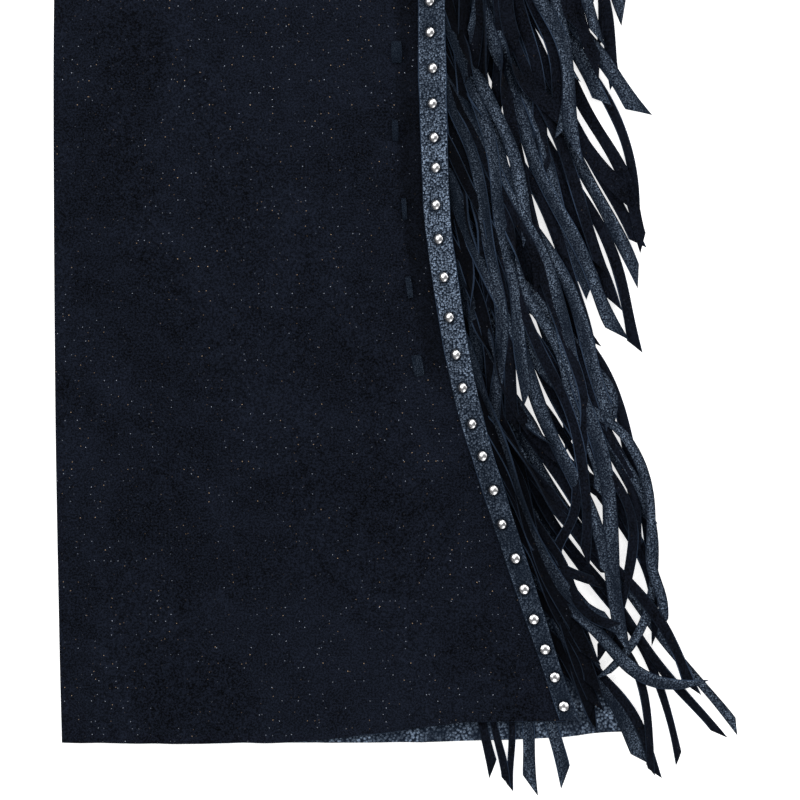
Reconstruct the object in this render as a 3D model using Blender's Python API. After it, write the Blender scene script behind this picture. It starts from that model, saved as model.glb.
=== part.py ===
"""Fringed and studded leather chaps, laid flat with the front up.

+X is to the right as seen from above, +Y runs towards the waist and +Z is up. The origin is at the
middle of the garment's box, on the surface that it lies on.

Each leg is drawn flat in millimetres: `out` runs from the inner corner of the hem towards the
outseam, and `up` runs from the hem towards the waist. The left leg is the right one mirrored.
"""

import math
from collections import namedtuple

import bmesh
import bpy
import numpy as np

# Driving dimensions, in millimetres unless the name says otherwise
MM = 0.001
LEATHER = 1.6
SEAM_GAP = 0.3
HEM_SPACING = 90.0
GARMENT_MIDDLE_UP = 510.5
CROTCH_UP = 770.0
PANEL_TOP_UP = 1040.0
BELT_LOW_UP = 1000.0
BELT_HIGH_UP = 1045.0
BACK_MARGIN = 25.0
STRIP_LOW_UP = 15.6
STRIP_HIGH_UP = 996.0
STRIP_THICKNESS = 1.2
STUD_DIAMETER = 6.4
STUD_HEIGHT = 2.1
FIRST_STUD_UP = 24.7
FRINGE_THICKNESS = 1.0
FRINGE_STEP = 1.2
FRINGE_LAYERS = 7
BACKING_WIDTH = 4.2
BACKING_STEP = 45.0
STRAND_CLEARANCE = 0.5
THONG_WIDTH = 5.5
THONG_THICKNESS = 1.2
STITCH_LENGTH = 14.0
STITCH_PITCH = 51.0
STITCH_SPAN = (246.0, 870.0)
STITCH_INSETS = (27.0, 24.0, 21.0, 25.0, 23.0)
BELT_SIDE_X = 268.0
BUCKLE_LENGTH = 46.0
BUCKLE_HEIGHT = 52.0
BUCKLE_BAR = 4.0

Height = namedtuple("Height", "up out")
Wide = namedtuple("Wide", "up width")
Hem = namedtuple("Hem", "out up")
Strand = namedtuple("Strand", "root hip_out hip_up knee_out knee_up tip_out tip_up width")
HemStrand = namedtuple("HemStrand", "root tip_out tip_up lean width")

# Middle of the studded strip, which follows the outseam
OUTSEAM = (
    Height(-60, 357), Height(15.6, 330.2), Height(93.6, 304.2), Height(158.6, 283),
    Height(223.6, 263.7), Height(288.6, 251.6), Height(353.6, 243.8), Height(483.6, 240.8),
    Height(560, 243), Height(650, 249), Height(750, 256), Height(850, 253), Height(930, 240),
    Height(1000, 215), Height(1045, 198),
)
STRIP_WIDTH = (
    Wide(-60, 11.0), Wide(15, 11.5), Wide(100, 13.5), Wide(200, 15.5), Wide(340, 17.5), Wide(1045, 18.5),
)

# Heights from one hand-set stud to the next, from the lowest up. The last twelve repeat.
STUD_STEPS = (
    18.9, 18.2, 19.5, 19.5, 20.2, 22.1, 22.1, 22.1, 20.8, 23.4, 21.5, 24.1, 26.0, 24.7, 22.1, 24.1,
    19.5, 22.1, 22.8, 23.4, 20.2,
)

# Inner edge of the front panel: straight down the leg, then cut back above the crotch
FRONT_INNER = (
    Height(0, 0), Height(60, -1.5), Height(240, -4.5), Height(430, -5.5), Height(580, -3.5),
    Height(CROTCH_UP, 2), Height(815, 24), Height(870, 42), Height(930, 34), Height(990, -10),
    Height(PANEL_TOP_UP, -36),
)
# Inner edge of the back panel: the seat is left open
BACK_INNER = (
    Height(0, 0), Height(60, -1.5), Height(240, -4.5), Height(430, -5.5), Height(580, -3.5),
    Height(CROTCH_UP, 2), Height(800, 44), Height(850, 96), Height(920, 134), Height(1000, 146),
)
# The front hem is cut shorter towards the outseam, so the back shows below it
FRONT_HEM = (Hem(0, 0), Hem(132, 0), Hem(204, 5.9), Hem(246, 11.7), Hem(268, 14.2), Hem(340, 14.5))
BACK_HEM = (Hem(0, 0), Hem(205, 0), Hem(276, 1.6), Hem(331, 3.9), Hem(350, 6.5), Hem(366, 7.3))

# Strands of the fringe. root, hip_up, knee_up and tip_up are heights above the hem: each strand
# leaves the backing at its root and falls through its hip and its knee to its tip.
STRANDS = (
    # Open lattice beside the shin, from the hem up
    Strand(150, 331, 72, 355, 32, 381, -11, 11.0),
    Strand(170, 328, 77, 358, 38, 387, -19, 6.5),
    Strand(212, 324, 113, 374, 45, 385, -17, 5.5),
    Strand(228, 324, 133, 386, 47, 402, -10, 5.0),
    Strand(196, 320, 108, 353, 63, 413, 38, 8.5),
    Strand(272, 308, 165, 371, 77, 427, 5, 6.0),
    Strand(300, 305, 191, 386, 77, 439, 10, 6.0),
    Strand(258, 308, 139, 334, 90, 359, 79, 9.0),
    Strand(285, 295, 188, 328, 146, 359, 113, 8.0),
    Strand(315, 281, 240, 321, 178, 362, 120, 8.0),
    Strand(330, 274, 264, 312, 199, 350, 165, 7.5),
    Strand(356, 324, 198, 386, 100, 387, 68, 5.0),
    Strand(368, 315, 211, 354, 120, 361, 62, 9.0),
    Strand(390, 311, 256, 341, 172, 339, 122, 7.0),
    Strand(412, 315, 269, 332, 172, 317, 101, 7.0),
    Strand(400, 298, 269, 344, 188, 383, 114, 8.0),
    Strand(424, 311, 276, 358, 188, 383, 146, 8.0),
    Strand(446, 308, 308, 370, 165, 378, 127, 7.0),
    Strand(463, 311, 315, 376, 178, 382, 120, 8.0),
    Strand(435, 302, 298, 346, 184, 353, 112, 7.0),
    # Long strands that fall beside the knee
    Strand(476, 285, 400, 330, 313, 345, 225, 8.0),
    Strand(487, 266, 440, 300, 344, 345, 262, 8.0),
    Strand(498, 298, 352, 347, 251, 358, 213, 9.0),
    Strand(508, 290, 420, 315, 360, 336, 309, 8.0),
    Strand(520, 288, 440, 340, 334, 358, 287, 8.0),
    Strand(532, 292, 430, 330, 330, 364, 268, 8.5),
    Strand(545, 298, 430, 352, 328, 376, 259, 7.5),
    Strand(556, 288, 460, 321, 360, 344, 295, 8.0),
    Strand(568, 290, 470, 331, 370, 352, 310, 8.0),
    Strand(580, 300, 460, 341, 372, 375, 304, 8.5),
    Strand(592, 296, 480, 344, 386, 374, 325, 8.0),
    Strand(604, 300, 486, 350, 400, 380, 326, 8.0),
    Strand(616, 304, 500, 353, 428, 371, 353, 6.5),
    Strand(627, 292, 520, 326, 461, 352, 418, 9.0),
    Strand(524, 283, 456, 324, 406, 369, 357, 10.0),
    Strand(640, 302, 540, 334, 469, 377, 412, 10.0),
    Strand(690, 298, 601, 352, 497, 352, 456, 5.0),
)
# The pattern of the long strands goes on up the thigh
REPEAT_FROM = 476.0
REPEAT_RISE = 172.0
REPEATS = 2
HIGHEST_ROOT = 984.0
# Short strands that run down close beside the strip, laid last
STEEP = (
    Strand(46, 341, 32, 343, 24, 345, 14, 7.0),
    Strand(66, 335, 48, 340, 34, 346, 18, 7.8),
    Strand(92, 328, 72, 337, 48, 346, 22, 7.8),
    Strand(118, 320, 96, 332, 66, 347, 25, 8.0),
    Strand(142, 311, 118, 326, 84, 345, 36, 8.5),
    Strand(184, 300, 152, 318, 108, 343, 56, 8.5),
    Strand(216, 291, 184, 307, 134, 330, 82, 8.5),
    Strand(246, 285, 214, 300, 160, 320, 108, 8.5),
    Strand(292, 276, 258, 288, 200, 305, 128, 8.5),
    Strand(322, 270, 288, 279, 240, 292, 170, 9.0),
    Strand(347, 266, 312, 274, 262, 284, 200, 8.5),
    Strand(379, 264, 342, 273, 295, 278, 240, 8.5),
    Strand(406, 265, 366, 277, 320, 281, 262, 8.5),
    Strand(441, 268, 390, 282, 306, 296, 208, 8.5),
    Strand(470, 270, 420, 290, 314, 303, 226, 8.0),
)

# Strands that come out between front and back below the front hem
HEM_STRANDS = (
    HemStrand(271, 279.5, -17, 2, 6.5),
    HemStrand(279.5, 286.8, -25.5, 2, 5.2),
    HemStrand(287, 294.2, -28.6, 2, 4.5),
    HemStrand(296.5, 307.5, -27.3, 8, 8.0),
    HemStrand(307.5, 325.5, -22.8, 8, 9.0),
)
HEM_BACKING_UP = (62.0, 70.0)

MATERIALS = {
    "suede": ((0.008, 0.011, 0.019), 0.95, 0.0),
    "grain": ((0.014, 0.018, 0.027), 0.5, 0.0),
    "nickel": ((0.62, 0.62, 0.64), 0.22, 1.0),
}


def along(table, where):
    """A value of a two-column table at this place, on a curve that doesn't overshoot its rows."""
    steps = [row[0] for row in table]
    values = [row[1] for row in table]
    where = min(max(where, steps[0]), steps[-1])
    widths = np.diff(steps)
    slopes = np.diff(values) / widths
    tangents = [slopes[0]]
    for before, after in zip(slopes[:-1], slopes[1:]):
        tangents.append(0.0 if before * after <= 0 else 2 * before * after / (before + after))
    tangents.append(slopes[-1])
    row = max(k for k in range(len(widths)) if steps[k] <= where)
    t = (where - steps[row]) / widths[row]
    pull = widths[row] * (t * (1 - t) ** 2 * tangents[row] - t * t * (1 - t) * tangents[row + 1])
    return values[row] + (values[row + 1] - values[row]) * t * t * (3 - 2 * t) + pull


def ease(t):
    t = min(max(t, 0.0), 1.0)
    return t * t * (3 - 2 * t)


def strip_outer(up):
    return along(OUTSEAM, up) + along(STRIP_WIDTH, up) / 2


def strip_inner(up):
    return along(OUTSEAM, up) - along(STRIP_WIDTH, up) / 2


def outseam_angle(up):
    """How far the outseam leans outwards on its way down, in degrees."""
    return math.degrees(math.atan2(strip_outer(up - 5) - strip_outer(up + 5), 10))


def down(degrees):
    """Unit vector (out, up) that points down, turned outwards by this angle."""
    return np.array([math.sin(math.radians(degrees)), -math.cos(math.radians(degrees))])


def place(side, out, up, z):
    """A point of a leg's drawing as a place in metres. side is 1 on the right and -1 on the left."""
    return (side * (HEM_SPACING / 2 + out) * MM, (up - GARMENT_MIDDLE_UP) * MM, z * MM)


# Material and object helpers
def material(kind):
    made = bpy.data.materials.get(kind)
    if made:
        return made
    colour, roughness, metallic = MATERIALS[kind]
    made = bpy.data.materials.new(kind)
    made.use_nodes = True
    shader = made.node_tree.nodes["Principled BSDF"]
    shader.inputs["Base Color"].default_value = (*colour, 1)
    shader.inputs["Roughness"].default_value = roughness
    shader.inputs["Metallic"].default_value = metallic
    return made


def add_object(name, mesh_data, kinds, parent):
    """Turn a bmesh into a named object whose origin is at the middle of its box."""
    mesh = bpy.data.meshes.new(name)
    points = np.array([vert.co for vert in mesh_data.verts])
    middle = (points.min(axis=0) + points.max(axis=0)) / 2
    bmesh.ops.translate(mesh_data, verts=mesh_data.verts, vec=-middle)
    mesh_data.to_mesh(mesh)
    mesh_data.free()
    mesh.shade_smooth()
    mesh.set_sharp_from_angle(angle=math.radians(40))
    for kind in kinds:
        mesh.materials.append(material(kind))
    made = bpy.data.objects.new(name, mesh)
    made.location = middle
    made.parent = parent
    bpy.context.scene.collection.objects.link(made)
    return made


def add_wall(name, sheet, thickness, kinds, parent):
    """A sheet of points given the leather's thickness upwards by a Solidify modifier."""
    bmesh.ops.recalc_face_normals(sheet, faces=sheet.faces)
    if sum(face.normal.z for face in sheet.faces) < 0:
        bmesh.ops.reverse_faces(sheet, faces=sheet.faces)
    made = add_object(name, sheet, kinds, parent)
    wall = made.modifiers.new("Leather", "SOLIDIFY")
    wall.thickness = thickness * MM
    wall.offset = 1
    return made


# Legs
def front_lift(out, up):
    """Height of the front panel's underside: it lies on the back, with soft waves."""
    low = LEATHER + SEAM_GAP
    wave = 0.55 * (1 + math.sin(up / 62.0 + out / 41.0)) * ease(out / 60.0)
    wave *= ease((strip_inner(up) - 6 - out) / 50.0) * ease((BELT_LOW_UP - 30 - up) / 60.0)
    over_hem_strands = 1.6 * ease((out - 236) / 30.0) * ease((116 - up) / 34.0)
    return low + wave + over_hem_strands


def front_top(out, up):
    return front_lift(out, up) + LEATHER


def panel_sheet(side, inner, outer, hem, columns, rows, height):
    """A panel's lower face as a grid from edge to edge and from hem to top."""
    sheet = bmesh.new()
    grid = []
    for up in rows:
        line = []
        for column in range(columns + 1):
            share = column / columns
            out = inner(up) + share * (outer(up) - inner(up))
            lifted = up + along(hem, out) * (1 - ease(up / 120.0))
            line.append(sheet.verts.new(place(side, out, lifted, height(out, lifted))))
        grid.append(line)
    for low, high in zip(grid[:-1], grid[1:]):
        for column in range(columns):
            sheet.faces.new((low[column], low[column + 1], high[column + 1], high[column]))
    return sheet


def panel_rows(top, breaks, longest):
    """Heights of a panel's rows: at each break of its outline, and evenly between them."""
    rows = [0.0]
    for stop in (*breaks, top):
        count = max(1, math.ceil((stop - rows[-1]) / longest))
        start = rows[-1]
        rows += [start + (stop - start) * k / count for k in range(1, count + 1)]
    return rows


def add_panels(side, word, parent):
    front_rows = panel_rows(PANEL_TOP_UP, (30, 70, 120, CROTCH_UP, 815, 870, 930, 990), 84)
    sheet = panel_sheet(
        side, lambda up: along(FRONT_INNER, up), front_outer,
        FRONT_HEM, 10, front_rows, front_lift,
    )
    add_wall(f"leg_front_{word}", sheet, LEATHER, ["suede"], parent)
    back_top = BELT_LOW_UP - SEAM_GAP
    back_rows = panel_rows(back_top, (30, 70, 120, CROTCH_UP, 800, 850, 920), 90)
    sheet = panel_sheet(
        side, lambda up: along(BACK_INNER, up), back_outer,
        BACK_HEM, 6, back_rows, lambda out, up: 0.0,
    )
    add_wall(f"leg_back_{word}", sheet, LEATHER, ["suede"], parent)


def front_outer(up):
    """The front panel ends under the strip, just inside the fringe's backings, also where its hem rises."""
    rise = FRONT_HEM[-1].up * (1 - ease(up / 120.0))
    return strip_outer(up + rise) - 1.0 - BACKING_WIDTH - 2.6


def back_outer(up):
    """The back panel reaches past the strip and carries the fringe."""
    return strip_outer(up) + BACK_MARGIN - 15 * ease((up - 700) / 300.0)


# Studded strip
def strip_section(up):
    """(out, z) of the strip's underside at its inner edge, its shoulder and its outer edge."""
    inner, outer = strip_inner(up), strip_outer(up)
    shoulder = outer - BACKING_WIDTH - 2.0
    low = front_top(inner, up) + SEAM_GAP
    stack = LEATHER + SEAM_GAP + (FRINGE_LAYERS - 1) * FRINGE_STEP + FRINGE_THICKNESS + SEAM_GAP
    flat = front_top(front_outer(up), up) + SEAM_GAP
    high = flat + (stack - flat) * ease((up - 30) / 140.0) + 0.1
    return (inner, low), (shoulder, high), (outer, high)


def stud_places():
    """Heights of the studs along the strip and how far each wanders off its middle."""
    rng = np.random.default_rng(7)
    places = []
    up = FIRST_STUD_UP
    while up < STRIP_HIGH_UP - 8:
        places.append((up, rng.uniform(-0.9, 0.9)))
        turn = len(places) - 1
        up += STUD_STEPS[turn] if turn < len(STUD_STEPS) else STUD_STEPS[9 + (turn - 9) % 12]
    return places


def add_strip(side, word, parent):
    """The strip as a chain of cells, each with one round stud raised from its top face."""
    studs = stud_places()
    ends = [STRIP_LOW_UP]
    ends += [(a[0] + b[0]) / 2 for a, b in zip(studs[:-1], studs[1:])]
    ends.append(STRIP_HIGH_UP)
    solid = bmesh.new()
    rings = []
    for up in ends:
        lower = [solid.verts.new(place(side, out, up, z)) for out, z in strip_section(up)]
        upper = [solid.verts.new(place(side, out, up, z + STRIP_THICKNESS)) for out, z in strip_section(up)]
        rings.append((lower, upper))
    for (low, low_top), (high, high_top), (up, wander) in zip(rings[:-1], rings[1:], studs):
        for k in (0, 1):
            solid.faces.new((low[k], low[k + 1], high[k + 1], high[k]))
        solid.faces.new((low[0], high[0], high_top[0], low_top[0]))
        solid.faces.new((low[2], high[2], high_top[2], low_top[2]))
        add_stud(solid, side, up, wander, low_top, high_top)
    for lower, upper in (rings[0], rings[-1]):
        solid.faces.new((*lower, *reversed(upper)))
    bmesh.ops.recalc_face_normals(solid, faces=solid.faces)
    add_object(f"stud_strip_{word}", solid, ["grain", "nickel"], parent)


def strip_top(out, up):
    """(z, slope) of the strip's top face at this place."""
    (inner, low), (shoulder, high), _ = strip_section(up)
    slope = (high - low) / (shoulder - inner)
    if out > shoulder:
        return high + STRIP_THICKNESS, 0.0
    return low + slope * (out - inner) + STRIP_THICKNESS, slope


def add_stud(solid, side, up, wander, low_top, high_top):
    """Top face of one cell of the strip, with a six-sided dome raised from its middle."""
    middle = along(OUTSEAM, up) - 0.6 + wander
    radius = STUD_DIAMETER / 2
    tilt = math.atan(sum(strip_top(middle + k * radius, up)[1] for k in (-0.6, 0, 0.6)) / 3)
    base, cap = [], []
    for k in range(6):
        angle = math.radians(60 * k)
        across, length = radius * math.cos(angle), radius * math.sin(angle)
        out = middle + across
        base.append(solid.verts.new(place(side, out, up + length, strip_top(out, up)[0])))
        out = middle + 0.55 * across * math.cos(tilt) - STUD_HEIGHT * math.sin(tilt)
        z = strip_top(middle, up)[0] + 0.55 * across * math.sin(tilt) + STUD_HEIGHT * math.cos(tilt)
        cap.append(solid.verts.new(place(side, out, up + 0.55 * length, z)))
    low_in, low_mid, low_out = low_top
    high_in, high_mid, high_out = high_top
    for face in (
        (high_out, high_mid, base[1]), (high_mid, base[2], base[1]), (high_mid, high_in, base[2]),
        (high_in, base[3], base[2]), (high_in, low_in, base[3]), (low_in, base[4], base[3]),
        (low_in, low_mid, base[4]), (low_mid, base[5], base[4]), (low_mid, low_out, base[5]),
        (low_out, base[0], base[5]), (low_out, high_out, base[0]), (high_out, base[1], base[0]),
    ):
        solid.faces.new(face)
    metal = []
    for k in range(6):
        metal.append(solid.faces.new((base[k], base[(k + 1) % 6], cap[(k + 1) % 6], cap[k])))
    metal.append(solid.faces.new(cap))
    for face in metal:
        face.material_index = 1


# Fringe
def curve(spots, count=24):
    """Evenly spaced points of a smooth curve through a few spots."""
    spots = np.array(spots)
    run = np.concatenate([[0], np.cumsum(np.linalg.norm(np.diff(spots, axis=0), axis=1))])
    slopes = np.gradient(spots, run, axis=0, edge_order=2)
    marks = np.linspace(0, run[-1], count + 1)
    row = np.clip(np.searchsorted(run, marks, side="right") - 1, 0, len(run) - 2)
    width = np.diff(run)[row][:, None]
    t = (marks[:, None] - run[row][:, None]) / width
    pull = width * (t * (1 - t) ** 2 * slopes[row] - t * t * (1 - t) * slopes[row + 1])
    return spots[row] + (spots[row + 1] - spots[row]) * t * t * (3 - 2 * t) + pull


def strand_path(strand):
    """Middle line of a strand from the backing to its tip, as (out, up) rows.

    It leaves the backing outwards, turns down within a finger's breadth, and falls to its tip.
    """
    root = (strip_outer(strand.root) - 1.0, strand.root)
    turn = (strip_outer(strand.root - 6) + strand.width / 2 + 0.3, strand.root - 6)
    hip, knee, tip = strand[1:3], strand[3:5], strand[5:7]
    return np.vstack([root, curve([turn, hip, knee, tip])])


def raised(strand, rise):
    """The same strand further up the outseam, which it follows."""
    spots = []
    for out, up in (strand[1:3], strand[3:5], strand[5:7]):
        shift = strip_outer(up + rise) - strip_outer(up)
        spots += [out + shift, up + rise]
    return Strand(strand.root + rise, *spots, strand.width)


def all_strands():
    """Every strand of a leg in the order of laying: those at the hem, then those that show most."""
    pattern = [row for row in STRANDS if REPEAT_FROM <= row.root < REPEAT_FROM + REPEAT_RISE]
    upper = []
    for turn in range(1, REPEATS + 1):
        upper += [raised(row, turn * REPEAT_RISE) for row in pattern]
    upper = [row for row in upper if row.root < HIGHEST_ROOT]
    lowest = [row for row in STEEP if row.root < STRANDS[0].root]
    return (*lowest, *STRANDS, *upper, *(row for row in STEEP if row not in lowest))


def bend(path):
    """Total turning of a path after its root, in degrees."""
    steps = np.diff(path[1:], axis=0)
    angles = np.degrees(np.unwrap(np.arctan2(steps[:, 1], steps[:, 0])))
    return float(np.abs(np.diff(angles)).sum())


def coarse(path):
    """The few points of a path that its solid is built on: more of them where it bends more."""
    count = 4 + int(bend(path) > 38) + int(bend(path) > 58)
    fall = path[1:]
    marks = np.linspace(0, len(fall) - 1, count + 1)
    picked = [[np.interp(m, range(len(fall)), fall[:, k]) for k in (0, 1)] for m in marks]
    return np.vstack([path[0], picked])


def dense(path, spacing=4.0):
    """Points every few millimetres along the straight runs of a path."""
    rows = [path[0]]
    for a, b in zip(path[:-1], path[1:]):
        count = max(1, math.ceil(np.linalg.norm(b - a) / spacing))
        rows += [a + (b - a) * k / count for k in range(1, count + 1)]
    return np.array(rows)


def shortened(path, share):
    """The first part of a path, with as many points as the whole."""
    marks = np.linspace(0, (len(path) - 2) * share, len(path) - 1)
    fall = [[np.interp(m, range(len(path) - 1), path[1:, k]) for k in (0, 1)] for m in marks]
    return np.vstack([path[0], fall])


def lay_fringe():
    """Lay each strand in the lowest layer where it lies clear of the strands already there.

    A strand with no room at its full length is tried shorter, and is left out if that fails too.
    """
    layers = [[] for _ in range(FRINGE_LAYERS)]
    for strand in all_strands():
        laid = False
        for share in (1.0, 0.85, 0.7):
            path = shortened(strand_path(strand), share)
            probe = dense(coarse(path))
            for layer in layers:
                if all(lies_clear(strand, probe, other, taken) for other, _, taken in layer):
                    layer.append((strand, path, probe))
                    laid = True
                    break
            if laid:
                break
    return [sorted(layer, key=lambda row: row[0].root) for layer in layers]


def lies_clear(strand, probe, other, taken):
    apart = (strand.width + other.width) / 2
    if abs(strand.root - other.root) < apart + 0.8:
        return False
    distances = np.linalg.norm(probe[:, None] - taken[None], axis=2)
    return distances.min() > apart + STRAND_CLEARANCE


def strand_height(out, up, layer):
    """Underside of a layer's strand: it lies over the back's margin, then sinks towards the floor."""
    beyond = out - strip_outer(up) - BACK_MARGIN - 5
    return LEATHER + SEAM_GAP + layer * FRINGE_STEP - 1.4 * ease(beyond / 70.0)


def add_fringe(side, word, layer, laid, parent):
    """One backing with its strands drawn out of its outer side, cell by cell."""
    stations = []
    for strand, path, _ in laid:
        stations += [(strand.root - strand.width / 2, None), (strand.root + strand.width / 2, (strand, path))]
    between = [(stations[0][0] - 6, None)]
    for up, drawn in stations:
        count = 1 if drawn else max(1, math.ceil((up - between[-1][0]) / BACKING_STEP))
        start = between[-1][0]
        between += [(start + (up - start) * k / count, None) for k in range(1, count)]
        between.append((up, drawn))
    stations = [*between, (between[-1][0] + 6, None)]
    solid = bmesh.new()
    rings = []
    for up, _ in stations:
        outer = strip_outer(up) - 1.0
        low = LEATHER + SEAM_GAP + layer * FRINGE_STEP
        high = low + FRINGE_THICKNESS
        corners = ((outer - BACKING_WIDTH, low), (outer, low), (outer, high), (outer - BACKING_WIDTH, high))
        rings.append([solid.verts.new(place(side, out, up, z)) for out, z in corners])
    for lower, upper, (_, drawn) in zip(rings[:-1], rings[1:], stations[1:]):
        for k in range(4):
            face = solid.faces.new((lower[k], lower[(k + 1) % 4], upper[(k + 1) % 4], upper[k]))
            if k == 1 and drawn:
                draw_strand(solid, side, layer, *drawn, face, lower, upper)
    solid.faces.new(rings[0])
    solid.faces.new(rings[-1])
    bmesh.ops.recalc_face_normals(solid, faces=solid.faces)
    add_object(f"fringe_{word}_{layer + 1}", solid, ["grain"], parent)


def draw_strand(solid, side, layer, strand, path, face, lower, upper):
    """Extrude a strand from its root face, one run of its path at a time, to a slanted tip."""
    points = coarse(path)
    corners = [lower[1], lower[2], upper[2], upper[1]]
    for index in range(1, len(points)):
        last = index == len(points) - 1
        heading = points[index] - points[index - 1] if last else points[index + 1] - points[index - 1]
        heading = heading / np.linalg.norm(heading)
        if index == 1:
            heading = path[2] - path[1]
            heading = heading / np.linalg.norm(heading)
        across = np.array([-heading[1], heading[0]]) * strand.width / 2
        reach = np.linalg.norm(points[index] - points[index - 1])
        slant = heading * (min(strand.width * 1.3, reach * 0.6) if last else 0)
        spots = (points[index] - across - slant, points[index] + across)
        corners, face = extrude_to(solid, side, layer, corners, face, spots)


def extrude_to(solid, side, layer, corners, face, spots):
    """Extrude one end face of a strand so that its two edges stand at these spots."""
    before = {vert.index: vert for vert in corners}
    result = bmesh.ops.extrude_discrete_faces(solid, faces=[face])
    new_face = result["faces"][0]
    pairs = []
    for old in corners:
        new = min(new_face.verts, key=lambda vert: (vert.co - old.co).length)
        pairs.append(new)
    inner, outer = spots
    for vert, (out, up), top in zip(pairs, (inner, inner, outer, outer), (0, 1, 1, 0)):
        z = strand_height(out, up, layer) + top * FRINGE_THICKNESS
        vert.co = place(side, out, up, z)
    return pairs, new_face


def add_hem_fringe(side, word, parent):
    """Short backing between front and back whose strands come out below the front hem."""
    low_up, high_up = HEM_BACKING_UP
    low = LEATHER + SEAM_GAP
    high = low + FRINGE_THICKNESS
    edges = []
    for strand in HEM_STRANDS:
        edges += [(strand.root - strand.width / 2, None), (strand.root + strand.width / 2, strand)]
    edges = [(edges[0][0] - 4, None), *edges]
    solid = bmesh.new()
    rings = []
    for out, _ in edges:
        corners = ((high_up, low), (low_up, low), (low_up, high), (high_up, high))
        rings.append([solid.verts.new(place(side, out, up, z)) for up, z in corners])
    for lower, upper, (_, strand) in zip(rings[:-1], rings[1:], edges[1:]):
        for k in range(4):
            face = solid.faces.new((lower[k], lower[(k + 1) % 4], upper[(k + 1) % 4], upper[k]))
            if k == 1 and strand:
                draw_hem_strand(solid, side, strand, face, lower, upper)
    solid.faces.new(rings[0])
    solid.faces.new(rings[-1])
    bmesh.ops.recalc_face_normals(solid, faces=solid.faces)
    add_object(f"fringe_hem_{word}", solid, ["grain"], parent)


def draw_hem_strand(solid, side, strand, face, lower, upper):
    low_up = HEM_BACKING_UP[0]
    start = np.array([strand.root, low_up])
    tip = np.array([strand.tip_out, strand.tip_up])
    corners = [lower[1], lower[2], upper[2], upper[1]]
    for share in (0.5, 1.0):
        middle = start + (tip - start) * share
        middle[0] -= math.sin(math.radians(strand.lean)) * 12 * (1 - share)
        half = np.array([strand.width / 2, 0.0])
        slant = np.array([0.0, strand.width * (1.1 if share == 1.0 else 0)])
        spots = (middle - half + slant, middle + half)
        corners, face = extrude_to(solid, side, 0, corners, face, spots)


# Lacing
def stitch_heights():
    first, last = STITCH_SPAN
    return np.arange(first, last, STITCH_PITCH)


def add_stitches(side, word, parent):
    """Running stitches of one thong, each a low arch on the front panel."""
    for number, up in enumerate(stitch_heights(), 1):
        out = along(OUTSEAM, up) - STITCH_INSETS[(number - 1) % len(STITCH_INSETS)]
        lean = down(outseam_angle(up))
        solid = bmesh.new()
        rings = []
        for share, rise in ((-0.5, 0.0), (-0.25, 0.7), (0.25, 0.7), (0.5, 0.0)):
            middle = np.array([out, up]) + lean * share * STITCH_LENGTH
            across = np.array([-lean[1], lean[0]]) * THONG_WIDTH / 2
            ring = []
            for way, top in ((-1, 0), (1, 0), (1, 1), (-1, 1)):
                spot = middle + way * across
                z = front_top(*spot) + SEAM_GAP + 0.12 + rise + top * THONG_THICKNESS
                ring.append(solid.verts.new(place(side, *spot, z)))
            rings.append(ring)
        for a, b in zip(rings[:-1], rings[1:]):
            for k in range(4):
                solid.faces.new((a[k], a[(k + 1) % 4], b[(k + 1) % 4], b[k]))
        solid.faces.new(rings[0])
        solid.faces.new(rings[-1])
        bmesh.ops.recalc_face_normals(solid, faces=solid.faces)
        add_object(f"lace_{word}_{number:02d}", solid, ["grain"], parent)


# Belt and buckle
def belt_path():
    """(x, z) down the middle of the belt's thickness, from the buckle end round to the free tip."""
    half = LEATHER / 2
    front = 2 * LEATHER + 2 * SEAM_GAP + half + 0.3
    radius = (front - half) / 2
    bar_top = front + half + SEAM_GAP + BUCKLE_BAR
    path = [(-BUCKLE_LENGTH / 2 + BUCKLE_BAR + SEAM_GAP, front), (-130, front)]
    for k in range(7):
        angle = math.radians(90 + 30 * k)
        path.append((-BELT_SIDE_X + radius * math.cos(angle), half + radius + radius * math.sin(angle)))
    path.append((0, half))
    for k in range(7):
        angle = math.radians(-90 + 30 * k)
        path.append((BELT_SIDE_X + radius * math.cos(angle), half + radius + radius * math.sin(angle)))
    path += [(130, front), (BUCKLE_LENGTH / 2 - 1, front), (BUCKLE_LENGTH / 2 - 14, front + 1.2)]
    over = bar_top + SEAM_GAP + half
    path += [(-BUCKLE_LENGTH / 2 + 9, over), (-BUCKLE_LENGTH / 2 - 5, over)]
    tail = front + LEATHER + SEAM_GAP + 0.3
    path += [(-BUCKLE_LENGTH / 2 - 22, tail), (-104, tail)]
    return path


def add_belt(parent):
    """One strap swept round the waist, pressed flat with the panels' tops inside it."""
    solid = bmesh.new()
    path = np.array(belt_path())
    rings = []
    for index, point in enumerate(path):
        before = path[max(index - 1, 0)]
        after = path[min(index + 1, len(path) - 1)]
        heading = (after - before) / np.linalg.norm(after - before)
        normal = np.array([-heading[1], heading[0]]) * LEATHER / 2
        narrow = 8 if index == len(path) - 1 else 0
        low, high = BELT_LOW_UP + 2 + narrow, BELT_HIGH_UP - narrow
        ring = []
        for up, way in ((low, -1), (high, -1), (high, 1), (low, 1)):
            x, z = point + way * normal
            ring.append(solid.verts.new((x * MM, (up - GARMENT_MIDDLE_UP) * MM, z * MM)))
        rings.append(ring)
    for a, b in zip(rings[:-1], rings[1:]):
        for k in range(4):
            solid.faces.new((a[k], a[(k + 1) % 4], b[(k + 1) % 4], b[k]))
    solid.faces.new(rings[0])
    solid.faces.new(rings[-1])
    bmesh.ops.recalc_face_normals(solid, faces=solid.faces)
    add_object("belt", solid, ["grain"], parent)


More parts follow.
